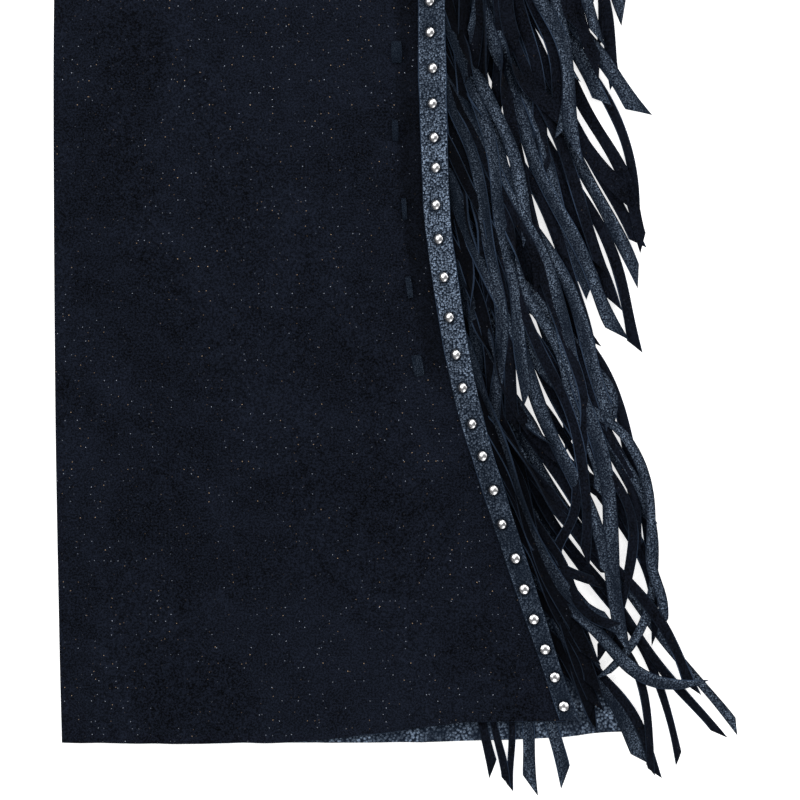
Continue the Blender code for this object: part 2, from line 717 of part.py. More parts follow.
def add_buckle(parent):
    """Square frame over the strap, and its prong, which rests on the far bar."""
    front = 2 * LEATHER + 2 * SEAM_GAP + LEATHER / 2 + 0.3
    low = front + LEATHER / 2 + SEAM_GAP
    middle = ((BELT_LOW_UP + 2 + BELT_HIGH_UP) / 2 - GARMENT_MIDDLE_UP) * MM
    frame = bmesh.new()
    bmesh.ops.create_cube(frame, size=1.0)
    bmesh.ops.scale(frame, verts=frame.verts, vec=(BUCKLE_LENGTH * MM, BUCKLE_HEIGHT * MM, BUCKLE_BAR * MM))
    top = max(frame.faces, key=lambda face: face.calc_center_median().z)
    bottom = min(frame.faces, key=lambda face: face.calc_center_median().z)
    bmesh.ops.inset_individual(frame, faces=[top, bottom], thickness=BUCKLE_BAR * MM)
    edges = [*top.edges, *bottom.edges]
    bmesh.ops.delete(frame, geom=[top, bottom], context="FACES_ONLY")
    bmesh.ops.bridge_loops(frame, edges=edges)
    bmesh.ops.recalc_face_normals(frame, faces=frame.faces)
    bmesh.ops.translate(frame, verts=frame.verts, vec=(0, middle, (low + BUCKLE_BAR / 2) * MM))
    add_object("buckle", frame, ["nickel"], parent)
    prong = bmesh.new()
    bmesh.ops.create_cube(prong, size=1.0)
    bmesh.ops.scale(prong, verts=prong.verts, vec=(24 * MM, 3 * MM, 2 * MM))
    prong_low = low + BUCKLE_BAR + SEAM_GAP
    bmesh.ops.translate(prong, verts=prong.verts, vec=(13 * MM, middle, (prong_low + 1) * MM))
    add_object("buckle_prong", prong, ["nickel"], parent)


def main():
    for old in list(bpy.data.objects):
        bpy.data.objects.remove(old, do_unlink=True)
    garment = bpy.data.objects.new("garment", None)
    bpy.context.scene.collection.objects.link(garment)
    layers = lay_fringe()
    for side, word in ((1, "right"), (-1, "left")):
        add_panels(side, word, garment)
        add_strip(side, word, garment)
        for layer, laid in enumerate(layers):
            add_fringe(side, word, layer, laid, garment)
        add_hem_fringe(side, word, garment)
        add_stitches(side, word, garment)
    add_belt(garment)
    add_buckle(garment)


main()
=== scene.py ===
"""Looks of a pair of fringed and studded leather chaps that lie flat with the front up."""

import math
from collections import namedtuple

import bmesh
import bpy
import numpy as np
from bpy.props import FloatProperty, FloatVectorProperty, PointerProperty
from mathutils import Matrix, Vector


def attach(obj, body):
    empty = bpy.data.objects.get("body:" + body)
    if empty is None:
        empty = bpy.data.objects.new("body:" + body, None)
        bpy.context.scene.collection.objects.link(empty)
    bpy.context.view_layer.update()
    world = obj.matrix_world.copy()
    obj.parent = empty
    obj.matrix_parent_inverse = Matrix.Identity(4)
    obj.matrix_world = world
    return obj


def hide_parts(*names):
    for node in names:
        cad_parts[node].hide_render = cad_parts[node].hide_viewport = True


bl_info = {
    "name": "Fringed chaps",
    "version": (1, 0, 0),
    "blender": (4, 5, 0),
    "location": "3D View > Sidebar > Chaps",
    "description": "Dresses the packed chaps in suede, grain leather and nickel",
    "category": "Object",
}

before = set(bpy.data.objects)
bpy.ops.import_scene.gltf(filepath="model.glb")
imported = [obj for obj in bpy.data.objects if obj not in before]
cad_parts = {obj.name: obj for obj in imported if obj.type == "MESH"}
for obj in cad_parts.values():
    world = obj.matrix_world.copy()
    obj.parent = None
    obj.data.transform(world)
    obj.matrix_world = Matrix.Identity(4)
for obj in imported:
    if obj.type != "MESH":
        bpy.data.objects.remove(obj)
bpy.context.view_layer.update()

# Sizes of the garment, in millimetres
MM = 0.001
LEATHER = 1.6
SEAM_GAP = 0.3
HEM_SPACING = 90.0
GARMENT_MIDDLE_UP = 510.5
CROTCH_UP = 770.0
PANEL_TOP_UP = 1040.0
BELT_LOW_UP = 1000.0
BELT_HIGH_UP = 1045.0
BACK_MARGIN = 25.0
STRIP_LOW_UP = 15.6
STRIP_HIGH_UP = 996.0
STRIP_THICKNESS = 1.2
FIRST_STUD_UP = 24.7
FRINGE_THICKNESS = 1.0
FRINGE_STEP = 1.2
FRINGE_LAYERS = 7
BACKING_WIDTH = 4.2
STRAND_CLEARANCE = 0.5
STITCH_PITCH = 51.0
STITCH_SPAN = (246.0, 870.0)
STITCH_INSETS = (27.0, 24.0, 21.0, 25.0, 23.0)
BELT_SIDE_X = 268.0
BUCKLE_LENGTH = 46.0
BUCKLE_HEIGHT = 52.0
BUCKLE_BAR = 4.0
HEM_BACKING_UP = (62.0, 70.0)
STUD_RADIUS = 3.2
STUD_CAP = 1.3
STUD_WALL = 0.7
THONG_WIDTH = 5.5
THONG_THICKNESS = 1.2
STITCH_LENGTH = 14.0
# Width of each stitch against the thong's, repeated down the leg
STITCH_WIDTHS = (1.25, 0.72, 0.6, 0.75, 1.3)
PRONG_LENGTH = 24.0
PRONG_RADIUS = 1.4
# Height of the middle of the belt's thickness where it crosses the front panels
BELT_FRONT_Z = 2 * LEATHER + 2 * SEAM_GAP + LEATHER / 2 + 0.3
# The fringe's layers from this one on also take strands that the solids leave out
FIRST_MIXED_LAYER = 3
MIXED_LAYERS = FRINGE_LAYERS - FIRST_MIXED_LAYER
# Shares of its length that a strand may be cut to, so that it finds room in a layer
STRAND_SHARES = (1.0, 0.85, 0.7)

# Middle of the photo's frame: across in metres, and up from the hem in millimetres
PHOTO_MIDDLE_X = 0.26535
PHOTO_MIDDLE_UP = 223.6

SIDES = ((1, "right"), (-1, "left"))

Height = namedtuple("Height", "up out")
Wide = namedtuple("Wide", "up width")
Hem = namedtuple("Hem", "out up")
Strand = namedtuple("Strand", "root hip_out hip_up knee_out knee_up tip_out tip_up width")
Winding = namedtuple("Winding", "root width course")
HemStrand = namedtuple("HemStrand", "root tip_out tip_up lean width")
Light = namedtuple("Light", "name spot size power")

OUTSEAM = (
    Height(-60, 357), Height(15.6, 330.2), Height(93.6, 304.2), Height(158.6, 283),
    Height(223.6, 263.7), Height(288.6, 251.6), Height(353.6, 243.8), Height(483.6, 240.8),
    Height(560, 243), Height(650, 249), Height(750, 256), Height(850, 253), Height(930, 240),
    Height(1000, 215), Height(1045, 198),
)
STRIP_WIDTH = (
    Wide(-60, 11.0), Wide(15, 11.5), Wide(100, 13.5), Wide(200, 15.5), Wide(340, 17.5), Wide(1045, 18.5),
)
STUD_STEPS = (
    18.9, 18.2, 19.5, 19.5, 20.2, 22.1, 22.1, 22.1, 20.8, 23.4, 21.5, 24.1, 26.0, 24.7, 22.1, 24.1,
    19.5, 22.1, 22.8, 23.4, 20.2,
)
FRONT_INNER = (
    Height(0, 0), Height(60, -1.5), Height(240, -4.5), Height(430, -5.5), Height(580, -3.5),
    Height(CROTCH_UP, 2), Height(815, 24), Height(870, 42), Height(930, 34), Height(990, -10),
    Height(PANEL_TOP_UP, -36),
)
BACK_INNER = (
    Height(0, 0), Height(60, -1.5), Height(240, -4.5), Height(430, -5.5), Height(580, -3.5),
    Height(CROTCH_UP, 2), Height(800, 44), Height(850, 96), Height(920, 134), Height(1000, 146),
)
FRONT_HEM = (Hem(0, 0), Hem(132, 0), Hem(204, 5.9), Hem(246, 11.7), Hem(268, 14.2), Hem(340, 14.5))
BACK_HEM = (Hem(0, 0), Hem(205, 0), Hem(276, 1.6), Hem(331, 3.9), Hem(350, 6.5), Hem(366, 7.3))
# Strands of the fringe. root, hip_up, knee_up and tip_up are heights above the hem: each strand
# leaves the backing at its root and falls through its hip and its knee to its tip.
STRANDS = (
    # Open lattice beside the shin, from the hem up
    Strand(150, 331, 72, 355, 32, 381, -11, 11.0),
    Strand(170, 328, 77, 358, 38, 387, -19, 6.5),
    Strand(212, 324, 113, 374, 45, 385, -17, 5.5),
    Strand(228, 324, 133, 386, 47, 402, -10, 5.0),
    Strand(196, 320, 108, 353, 63, 413, 38, 8.5),
    Strand(272, 308, 165, 371, 77, 427, 5, 6.0),
    Strand(300, 305, 191, 386, 77, 439, 10, 6.0),
    Strand(258, 308, 139, 334, 90, 359, 79, 9.0),
    Strand(285, 295, 188, 328, 146, 359, 113, 8.0),
    Strand(315, 281, 240, 321, 178, 362, 120, 8.0),
    Strand(330, 274, 264, 312, 199, 350, 165, 7.5),
    Strand(356, 324, 198, 386, 100, 387, 68, 5.0),
    Strand(368, 315, 211, 354, 120, 361, 62, 9.0),
    Strand(390, 311, 256, 341, 172, 339, 122, 7.0),
    Strand(412, 315, 269, 332, 172, 317, 101, 7.0),
    Strand(400, 298, 269, 344, 188, 383, 114, 8.0),
    Strand(424, 311, 276, 358, 188, 383, 146, 8.0),
    Strand(446, 308, 308, 370, 165, 378, 127, 7.0),
    Strand(463, 311, 315, 376, 178, 382, 120, 8.0),
    Strand(435, 302, 298, 346, 184, 353, 112, 7.0),
    # Long strands that fall beside the knee
    Strand(476, 285, 400, 330, 313, 345, 225, 8.0),
    Strand(487, 266, 440, 300, 344, 345, 262, 8.0),
    Strand(498, 298, 352, 347, 251, 358, 213, 9.0),
    Strand(508, 290, 420, 315, 360, 336, 309, 8.0),
    Strand(520, 288, 440, 340, 334, 358, 287, 8.0),
    Strand(532, 292, 430, 330, 330, 364, 268, 8.5),
    Strand(545, 298, 430, 352, 328, 376, 259, 7.5),
    Strand(556, 288, 460, 321, 360, 344, 295, 8.0),
    Strand(568, 290, 470, 331, 370, 352, 310, 8.0),
    Strand(580, 300, 460, 341, 372, 375, 304, 8.5),
    Strand(592, 296, 480, 344, 386, 374, 325, 8.0),
    Strand(604, 300, 486, 350, 400, 380, 326, 8.0),
    Strand(616, 304, 500, 353, 428, 371, 353, 6.5),
    Strand(627, 292, 520, 326, 461, 352, 418, 9.0),
    Strand(524, 283, 456, 324, 406, 369, 357, 10.0),
    Strand(640, 302, 540, 334, 469, 377, 412, 10.0),
    Strand(690, 298, 601, 352, 497, 352, 456, 5.0),
)
# The pattern of the long strands goes on up the thigh
REPEAT_FROM = 476.0
REPEAT_RISE = 172.0
REPEATS = 2
HIGHEST_ROOT = 984.0
# Steep strands close beside the strip. Those with roots below the first of STRANDS are laid
# first, and the others last.
STEEP = (
    Strand(46, 341, 32, 343, 24, 345, 14, 7.0),
    Strand(66, 335, 48, 340, 34, 346, 18, 7.8),
    Strand(92, 328, 72, 337, 48, 346, 22, 7.8),
    Strand(118, 320, 96, 332, 66, 347, 25, 8.0),
    Strand(142, 311, 118, 326, 84, 345, 36, 8.5),
    Strand(184, 300, 152, 318, 108, 343, 56, 8.5),
    Strand(216, 291, 184, 307, 134, 330, 82, 8.5),
    Strand(246, 285, 214, 300, 160, 320, 108, 8.5),
    Strand(292, 276, 258, 288, 200, 305, 128, 8.5),
    Strand(322, 270, 288, 279, 240, 292, 170, 9.0),
    Strand(347, 266, 312, 274, 262, 284, 200, 8.5),
    Strand(379, 264, 342, 273, 295, 278, 240, 8.5),
    Strand(406, 265, 366, 277, 320, 281, 262, 8.5),
    Strand(441, 268, 390, 282, 306, 296, 208, 8.5),
    Strand(470, 270, 420, 290, 314, 303, 226, 8.0),
)
# Roots of the strands that show their grain side
GRAIN_ROOTS = (
    150, 196, 258, 290, 330, 368, 424, 430, 470, 487, 498, 500, 524, 532, 556, 560, 580, 604, 627, 640,
)
# Strands that the solids leave out: beside the shin and the knee
OPEN_STRANDS = (
    Strand(380, 345, 215, 388, 100, 352, 44, 6.0),
    Strand(352, 338, 205, 373, 118, 347, 60, 6.5),
    Strand(430, 330, 260, 355, 154, 363, 66, 10.0),
    Strand(250, 302, 150, 318, 118, 348, 104, 6.5),
    Strand(598, 286, 525, 304, 455, 316, 372, 9.0),
    Strand(612, 290, 538, 312, 470, 330, 398, 9.0),
)
# Strands that the solids leave out: those that wind in and out beside the shin. A course is
# the (out, up) places that a strand passes on its way to its tip.
WINDING_STRANDS = (
    Winding(440, 7.0, ((300, 332), (331, 267), (346, 248), (358, 226), (352, 206), (338, 190))),
    Winding(400, 6.5, (
        (292, 290), (318, 237), (344, 215), (361, 204), (374, 187), (384, 161), (385, 135), (383, 118),
        (390, 92), (389, 76),
    )),
    Winding(426, 7.0, ((305, 320), (330, 258), (338, 226), (337, 174), (333, 148), (320, 128), (318, 111))),
    Winding(204, 7.0, ((303, 152), (316, 132), (325, 118), (331, 98), (342, 84), (359, 78))),
    Winding(290, 8.0, ((292, 228), (311, 200), (337, 174), (357, 160))),
    Winding(238, 7.0, ((300, 182), (316, 157), (337, 139), (357, 120), (383, 85), (411, 37))),
)
# Strands that the solids leave out: close beside the strip, where they are densest
DENSE_STRANDS = (
    Strand(560, 277, 463, 300, 370, 310, 300, 9.0),
    Strand(520, 264, 441, 292, 388, 305, 330, 8.0),
    Strand(500, 270, 418, 288, 345, 306, 280, 9.5),
    Strand(455, 262, 385, 280, 331, 277, 285, 8.0),
    Strand(400, 258, 335, 267, 289, 273, 235, 8.0),
    Strand(430, 270, 366, 280, 320, 283, 215, 8.0),
)
# Short strands below the front hem. A root is a place across the leg, and lean is in degrees.
HEM_STRANDS = (
    HemStrand(271, 279.5, -17, 2, 6.5),
    HemStrand(279.5, 286.8, -25.5, 2, 5.2),
    HemStrand(287, 294.2, -28.6, 2, 4.5),
    HemStrand(296.5, 307.5, -27.3, 8, 8.0),
    HemStrand(307.5, 325.5, -22.8, 8, 9.0),
)


LIGHTS = (
    Light("window", (-1.5, 0.6, 1.2), 1.8, 36.0),
    Light("window_right", (2.0, 0.4, 1.2), 1.8, 27.0),
    Light("fill", (0.3, -2.1, 1.2), 1.8, 20.0),
    Light("far_fill", (0.2, 1.7, 1.3), 1.8, 20.0),
)


# Shape of the garment
def along(table, where):
    """A value of a two-column table at this place, on a curve that doesn't overshoot its rows."""
    steps = [row[0] for row in table]
    values = [row[1] for row in table]
    where = min(max(where, steps[0]), steps[-1])
    widths = np.diff(steps)
    slopes = np.diff(values) / widths
    tangents = [slopes[0]]
    for before, after in zip(slopes[:-1], slopes[1:]):
        tangents.append(0.0 if before * after <= 0 else 2 * before * after / (before + after))
    tangents.append(slopes[-1])
    row = max(k for k in range(len(widths)) if steps[k] <= where)
    t = (where - steps[row]) / widths[row]
    pull = widths[row] * (t * (1 - t) ** 2 * tangents[row] - t * t * (1 - t) * tangents[row + 1])
    return values[row] + (values[row + 1] - values[row]) * t * t * (3 - 2 * t) + pull


def ease(t):
    t = min(max(t, 0.0), 1.0)
    return t * t * (3 - 2 * t)


def strip_outer(up):
    return along(OUTSEAM, up) + along(STRIP_WIDTH, up) / 2


def strip_inner(up):
    return along(OUTSEAM, up) - along(STRIP_WIDTH, up) / 2


def outseam_angle(up):
    """How far the outseam leans outwards on its way down, in degrees."""
    return math.degrees(math.atan2(strip_outer(up - 5) - strip_outer(up + 5), 10))


def place(side, out, up, z):
    """A point of a leg's drawing as a place in metres. side is 1 on the right and -1 on the left."""
    return (side * (HEM_SPACING / 2 + out) * MM, (up - GARMENT_MIDDLE_UP) * MM, z * MM)


def front_lift(out, up):
    low = LEATHER + SEAM_GAP
    wave = 0.55 * (1 + math.sin(up / 62.0 + out / 41.0)) * ease(out / 60.0)
    wave *= ease((strip_inner(up) - 6 - out) / 50.0) * ease((BELT_LOW_UP - 30 - up) / 60.0)
    over_hem_strands = 1.6 * ease((out - 236) / 30.0) * ease((116 - up) / 34.0)
    return low + wave + over_hem_strands


def front_top(out, up):
    return front_lift(out, up) + LEATHER


def front_outer(up):
    """The front panel ends under the strip, just inside the fringe's backings, also where its hem rises."""
    rise = FRONT_HEM[-1].up * (1 - ease(up / 120.0))
    return strip_outer(up + rise) - 1.0 - BACKING_WIDTH - 2.6


def back_outer(up):
    return strip_outer(up) + BACK_MARGIN - 15 * ease((up - 700) / 300.0)


def strip_section(up):
    """(out, z) of the strip's underside at its inner edge, its shoulder and its outer edge."""
    inner, outer = strip_inner(up), strip_outer(up)
    shoulder = outer - BACKING_WIDTH - 2.0
    low = front_top(inner, up) + SEAM_GAP
    stack = LEATHER + SEAM_GAP + (FRINGE_LAYERS - 1) * FRINGE_STEP + FRINGE_THICKNESS + SEAM_GAP
    flat = front_top(front_outer(up), up) + SEAM_GAP
    high = flat + (stack - flat) * ease((up - 30) / 140.0) + 0.1
    return (inner, low), (shoulder, high), (outer, high)


def strip_top(out, up):
    """(z, slope) of the strip's top face at this place."""
    (inner, low), (shoulder, high), _ = strip_section(up)
    slope = (high - low) / (shoulder - inner)
    if out > shoulder:
        return high + STRIP_THICKNESS, 0.0
    return low + slope * (out - inner) + STRIP_THICKNESS, slope


def stud_places():
    """Heights of the studs along the strip and how far each wanders off its middle."""
    rng = np.random.default_rng(7)
    places = []
    up = FIRST_STUD_UP
    while up < STRIP_HIGH_UP - 8:
        places.append((up, rng.uniform(-0.9, 0.9)))
        turn = len(places) - 1
        up += STUD_STEPS[turn] if turn < len(STUD_STEPS) else STUD_STEPS[9 + (turn - 9) % 12]
    return places


def curve(spots, count=24):
    """Evenly spaced points of a smooth curve through a few spots."""
    spots = np.array(spots)
    run = np.concatenate([[0], np.cumsum(np.linalg.norm(np.diff(spots, axis=0), axis=1))])
    slopes = np.gradient(spots, run, axis=0, edge_order=2)
    marks = np.linspace(0, run[-1], count + 1)
    row = np.clip(np.searchsorted(run, marks, side="right") - 1, 0, len(run) - 2)
    width = np.diff(run)[row][:, None]
    t = (marks[:, None] - run[row][:, None]) / width
    pull = width * (t * (1 - t) ** 2 * slopes[row] - t * t * (1 - t) * slopes[row + 1])
    return spots[row] + (spots[row + 1] - spots[row]) * t * t * (3 - 2 * t) + pull


def strand_path(strand):
    """Middle line of a strand from the backing to its tip, as (out, up) rows.

    It leaves the backing outwards, turns down within a finger's breadth, and falls to its tip.
    """
    root = (strip_outer(strand.root) - 1.0, strand.root)
    turn = (strip_outer(strand.root - 6) + strand.width / 2 + 0.3, strand.root - 6)
    hip, knee, tip = strand[1:3], strand[3:5], strand[5:7]
    return np.vstack([root, curve([turn, hip, knee, tip])])


def raised(strand, rise):
    """The same strand further up the outseam, which it follows."""
    spots = []
    for out, up in (strand[1:3], strand[3:5], strand[5:7]):
        shift = strip_outer(up + rise) - strip_outer(up)
        spots += [out + shift, up + rise]
    return Strand(strand.root + rise, *spots, strand.width)


def all_strands():
    """Every strand of a leg in the order of laying: those at the hem, then those that show most."""
    pattern = [row for row in STRANDS if REPEAT_FROM <= row.root < REPEAT_FROM + REPEAT_RISE]
    upper = []
    for turn in range(1, REPEATS + 1):
        upper += [raised(row, turn * REPEAT_RISE) for row in pattern]
    upper = [row for row in upper if row.root < HIGHEST_ROOT]
    lowest = [row for row in STEEP if row.root < STRANDS[0].root]
    return (*lowest, *STRANDS, *upper, *(row for row in STEEP if row not in lowest))


def bend(path):
    steps = np.diff(path[1:], axis=0)
    angles = np.degrees(np.unwrap(np.arctan2(steps[:, 1], steps[:, 0])))
    return float(np.abs(np.diff(angles)).sum())


def coarse(path):
    """The few points of a path that its solid is built on."""
    count = 4 + int(bend(path) > 38) + int(bend(path) > 58)
    fall = path[1:]
    marks = np.linspace(0, len(fall) - 1, count + 1)
    picked = [[np.interp(m, range(len(fall)), fall[:, k]) for k in (0, 1)] for m in marks]
    return np.vstack([path[0], picked])


def dense(path, spacing=4.0):
    """Points every few millimetres along the straight runs of a path."""
    rows = [path[0]]
    for a, b in zip(path[:-1], path[1:]):
        count = max(1, math.ceil(np.linalg.norm(b - a) / spacing))
        rows += [a + (b - a) * k / count for k in range(1, count + 1)]
    return np.array(rows)


def shortened(path, share):
    """The first part of a path, with as many points as the whole."""
    marks = np.linspace(0, (len(path) - 2) * share, len(path) - 1)
    fall = [[np.interp(m, range(len(path) - 1), path[1:, k]) for k in (0, 1)] for m in marks]
    return np.vstack([path[0], fall])


def lies_clear(strand, probe, other, taken):
    apart = (strand.width + other.width) / 2
    if abs(strand.root - other.root) < apart + 0.8:
        return False
    distances = np.linalg.norm(probe[:, None] - taken[None], axis=2)
    return distances.min() > apart + STRAND_CLEARANCE


def lay_fringe():
    """Lay each strand in the lowest layer where it lies clear of the strands already there."""
    layers = [[] for _ in range(FRINGE_LAYERS)]
    for strand in all_strands():
        laid = False
        for share in STRAND_SHARES:
            path = shortened(strand_path(strand), share)
            probe = dense(coarse(path))
            for layer in layers:
                if all(lies_clear(strand, probe, other, taken) for other, _, taken in layer):
                    layer.append((strand, path, probe))
                    laid = True
                    break
            if laid:
                break
    return [sorted(layer, key=lambda row: row[0].root) for layer in layers]


def strand_height(out, up, layer):
    """Underside of a layer's strand: it lies over the back's margin, then sinks towards the floor."""
    beyond = out - strip_outer(up) - BACK_MARGIN - 5
    return LEATHER + SEAM_GAP + layer * FRINGE_STEP - 1.4 * ease(beyond / 70.0)


# Shader maths
class Wire:
    """An output socket that can be used in an expression as if it were a number."""

    def __init__(self, finish, socket):
        self.finish = finish
        self.socket = socket

    def maths(self, operation, *values):
        return self.finish.node("ShaderNodeMath", {"operation": operation}, dict(enumerate(values)))

    def __add__(self, other):
        return self.maths("ADD", self, other)

    __radd__ = __add__

    def __sub__(self, other):
        return self.maths("SUBTRACT", self, other)

    def __rsub__(self, other):
        return self.maths("SUBTRACT", other, self)

    def __mul__(self, other):
        return self.maths("MULTIPLY", self, other)

    __rmul__ = __mul__

    def between(self, low, high):
        """0 below low and 1 above high, smooth between them. A high below low turns it round."""
        settings = {"interpolation_type": "SMOOTHSTEP"}
        values = {"Value": self, "From Min": low, "From Max": high}
        return self.finish.node("ShaderNodeMapRange", settings, values)


class Finish:
    """A material under construction: a Principled shader and the nodes that feed it."""

    def __init__(self, name, slot, **constants):
        self.material = bpy.data.materials.new(name)
        self.material.use_nodes = True
        self.tree = self.material.node_tree
        self.shader = self.tree.nodes["Principled BSDF"]
        self.slot = slot
        for socket, value in constants.items():
            self.shader.inputs[socket.replace("_", " ")].default_value = value
        self.place = self.node("ShaderNodeTexCoord", {}, {}, "Object")

    def node(self, kind, settings, values, output=0):
        """One node: its settings are set first, and then its inputs are given values or wires."""
        made = self.tree.nodes.new(kind)
        for name, value in settings.items():
            setattr(made, name, value)
        for name, value in values.items():
            if isinstance(value, Wire):
                self.tree.links.new(value.socket, made.inputs[name])
            else:
                made.inputs[name].default_value = value
        return Wire(self, made.outputs[output])

    def stretched(self, share):
        """The piece's coordinates, drawn out along the leg."""
        settings = {"operation": "MULTIPLY"}
        return self.node("ShaderNodeVectorMath", settings, {0: self.place, 1: (1.0, share, 1.0)})

    def noise(self, scale, detail=2.0, roughness=0.5, distortion=0.0, drawn=1.0):
        values = {"Vector": self.stretched(drawn), "Scale": scale, "Detail": detail}
        values.update({"Roughness": roughness, "Distortion": distortion})
        return self.node("ShaderNodeTexNoise", {}, values)

    def cells(self, scale, output="Distance"):
        """Cells seen from above, each with its own middle and colour."""
        values = {"Vector": self.place, "Scale": scale}
        return self.node("ShaderNodeTexVoronoi", {"voronoi_dimensions": "2D"}, values, output)

    def attribute(self, name):
        return self.node("ShaderNodeAttribute", {"attribute_name": name}, {}, "Fac")

    def mix(self, factor, first, second):
        """A colour between two colours."""
        values = {"Factor": factor, "A": first, "B": second}
        made = self.tree.nodes.new("ShaderNodeMix")
        made.data_type = "RGBA"
        for socket in made.inputs:
            if socket.name in values and socket.enabled:
                value = values[socket.name]
                if isinstance(value, Wire):
                    self.tree.links.new(value.socket, socket)
                else:
                    socket.default_value = value if socket.type == "VALUE" else (*value[:3], 1.0)
        return Wire(self, next(socket for socket in made.outputs if socket.enabled))

    def feed(self, socket, wire):
        self.tree.links.new(wire.socket, self.shader.inputs[socket])

    def bump(self, height, distance_mm, strength):
        values = {"Height": height, "Distance": distance_mm * MM, "Strength": strength}
        self.feed("Normal", self.node("ShaderNodeBump", {}, values, "Normal"))


def shade(colour, factor):
    return tuple(channel * factor for channel in colour)


def suede(name, tone=1.0, lint=1.0):
    """Rough-out leather: a cloudy nap with stray specks of lint."""
    looks = bpy.context.scene.chaps
    made = Finish(name, "suede", Specular_IOR_Level=0.03, Sheen_Weight=0.01, Sheen_Roughness=0.6)
    base = shade(looks.suede_colour, tone)
    clouds = made.noise(13.0, 4.0, 0.62, 1.2)
    mottle = made.noise(140.0, 3.0, 0.65)
    nap = made.noise(820.0, 2.0, 0.75)
    light = clouds.between(0.34, 0.68) * 0.22 + mottle.between(0.3, 0.72) * 0.16
    light = light + nap.between(0.38, 0.64) * 0.62
    colour = made.mix(light, shade(base, 0.03), shade(base, 2.2))
    # Painted shade, as strong as the piece's attribute says: darker beside and under the strip and round
    # the studs.
    colour = made.mix(made.attribute("painted_shade"), colour, shade(base, 0.12))
    for scale, size, tint in ((190.0, 0.07, (0.46, 0.33, 0.21)), (230.0, 0.08, (0.38, 0.42, 0.50))):
        strength = made.cells(scale, "Color").between(0.7, 0.94)
        flecks = made.cells(scale).between(size, size * 0.5)
        here = clouds.between(0.4, 0.58) * 0.85 + 0.15
        colour = made.mix(flecks * strength * here * lint, colour, tint)
    made.feed("Base Color", colour)
    made.feed("Roughness", nap * 0.1 + 0.88)
    made.bump(nap * 0.6 + mottle * 0.9, 0.5, looks.nap)
    return made


def grain(name, tone=1.0, size=1.0, painted_highlight=0.3, drawn=1.0):
    """Pebbled grain leather: pebble tops with painted highlights between dark furrows, and painted shade
    where the piece asks for it.
    """
    looks = bpy.context.scene.chaps
    made = Finish(name, "grain", Specular_IOR_Level=0.14, Specular_Tint=(0.4, 0.62, 1.0, 1.0))
    base = shade(looks.grain_colour, tone)
    pebbles = 1 - made.cells(730.0 / size).between(0.2, 0.66)
    each = made.cells(730.0 / size, "Color")
    fine = made.noise(620.0 / size, 2.0, 0.6, 0.8)
    patches = made.noise(60.0, 3.0, 0.6, 0.0, drawn)
    # Painted highlights: the pebble tops take the glint colour, in streaky patches and as strongly as the
    # piece's attribute asks.
    glow = pebbles * (each.between(0.2, 0.75) * 0.65 + 0.35) * (fine.between(0.38, 0.6) * 0.7 + 0.3)
    highlighted = patches.between(0.4, 0.64) * painted_highlight + painted_highlight * 0.3 + made.attribute("painted_highlight") * (patches + 0.5)
    colour = made.mix(glow * highlighted, shade(base, 0.5), shade(looks.glint_colour, tone))
    # Painted shade, as strong as the piece's attribute says.
    colour = made.mix(made.attribute("painted_shade"), colour, shade(base, 0.1))
    made.feed("Base Color", colour)
    made.feed("Roughness", 0.62 - glow * 0.2)
    made.bump(pebbles + fine, 0.4, looks.pebble)
    return made


def cut_edge(name):
    """Raw cut edge of the hide, paler in some places than in others."""
    looks = bpy.context.scene.chaps
    made = Finish(name, "suede", Specular_IOR_Level=0.05)
    fibres = made.noise(900.0, 2.0, 0.6)
    patches = made.noise(30.0, 2.0, 0.5, 0.0, 0.5)
    light = patches.between(0.42, 0.62) * 0.8 + fibres.between(0.3, 0.7) * 0.2
    colour = made.mix(light, shade(looks.edge_colour, 0.15), looks.edge_colour)
    # Painted shade on the cut edges beside and under the strip, a little weaker than on the faces.
    colour = made.mix(made.attribute("painted_shade") * 0.6, colour, shade(looks.edge_colour, 0.2))
    made.feed("Base Color", colour)
    made.feed("Roughness", fibres * 0.1 + 0.85)
    made.bump(fibres, 0.3, 0.6)
    return made


def nickel(name):
    """Bright plate with faint rubbing."""
    made = Finish(name, "nickel", Metallic=1.0)
    rubbing = made.noise(420.0, 3.0, 0.6)
    made.feed("Base Color", made.mix(rubbing, (0.66, 0.66, 0.68), (0.86, 0.86, 0.87)))
    made.feed("Roughness", rubbing * 0.1 + 0.24)
    return made


# Each finish: the function that makes it, and what that is given after the name
FINISH_KINDS = {
    "suede": (suede,),
    "suede_strand": (suede, 0.75, 0.2),
    "grain": (grain, 1.0, 0.95, 0.16),
    "grain_strand": (grain, 0.9, 0.8, 0.2, 0.3),
    "grain_inside": (grain, 1.25, 1.35, 0.55),
    "thong": (grain, 0.7, 0.7, 0.14, 0.2),
    "cut_edge": (cut_edge,),
    "nickel": (nickel,),
}
FINISHES = {}


def finish(name):
    """A finish by its name, made the first time that it is asked for."""
    if name not in FINISHES:
        kind, *values = FINISH_KINDS[name]
        FINISHES[name] = kind(name, *values)
    return FINISHES[name]


# Mesh helpers
def piece(name, mesh, kinds, replaced=()):
    """Link a mesh as a piece that rides on the garment and stands for these nodes."""
    made = bpy.data.objects.new(name, mesh)
    bpy.context.scene.collection.objects.link(made)
    for kind in kinds:
        mesh.materials.append(finish(kind).material)
    finish(kinds[0]).slot
    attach(made, "root")
    if replaced:
        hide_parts(*replaced)
    return made


def mesh_of(name, points, faces, kinds, sharp=50.0):
    """A smooth-shaded mesh from points in metres, faces and each face's finish number."""
    mesh = bpy.data.meshes.new(name)
    mesh.from_pydata(points, [], faces)
    mesh.polygons.foreach_set("material_index", kinds)
    mesh.shade_smooth()
    mesh.set_sharp_from_angle(angle=math.radians(sharp))
    mesh.update()
    return mesh


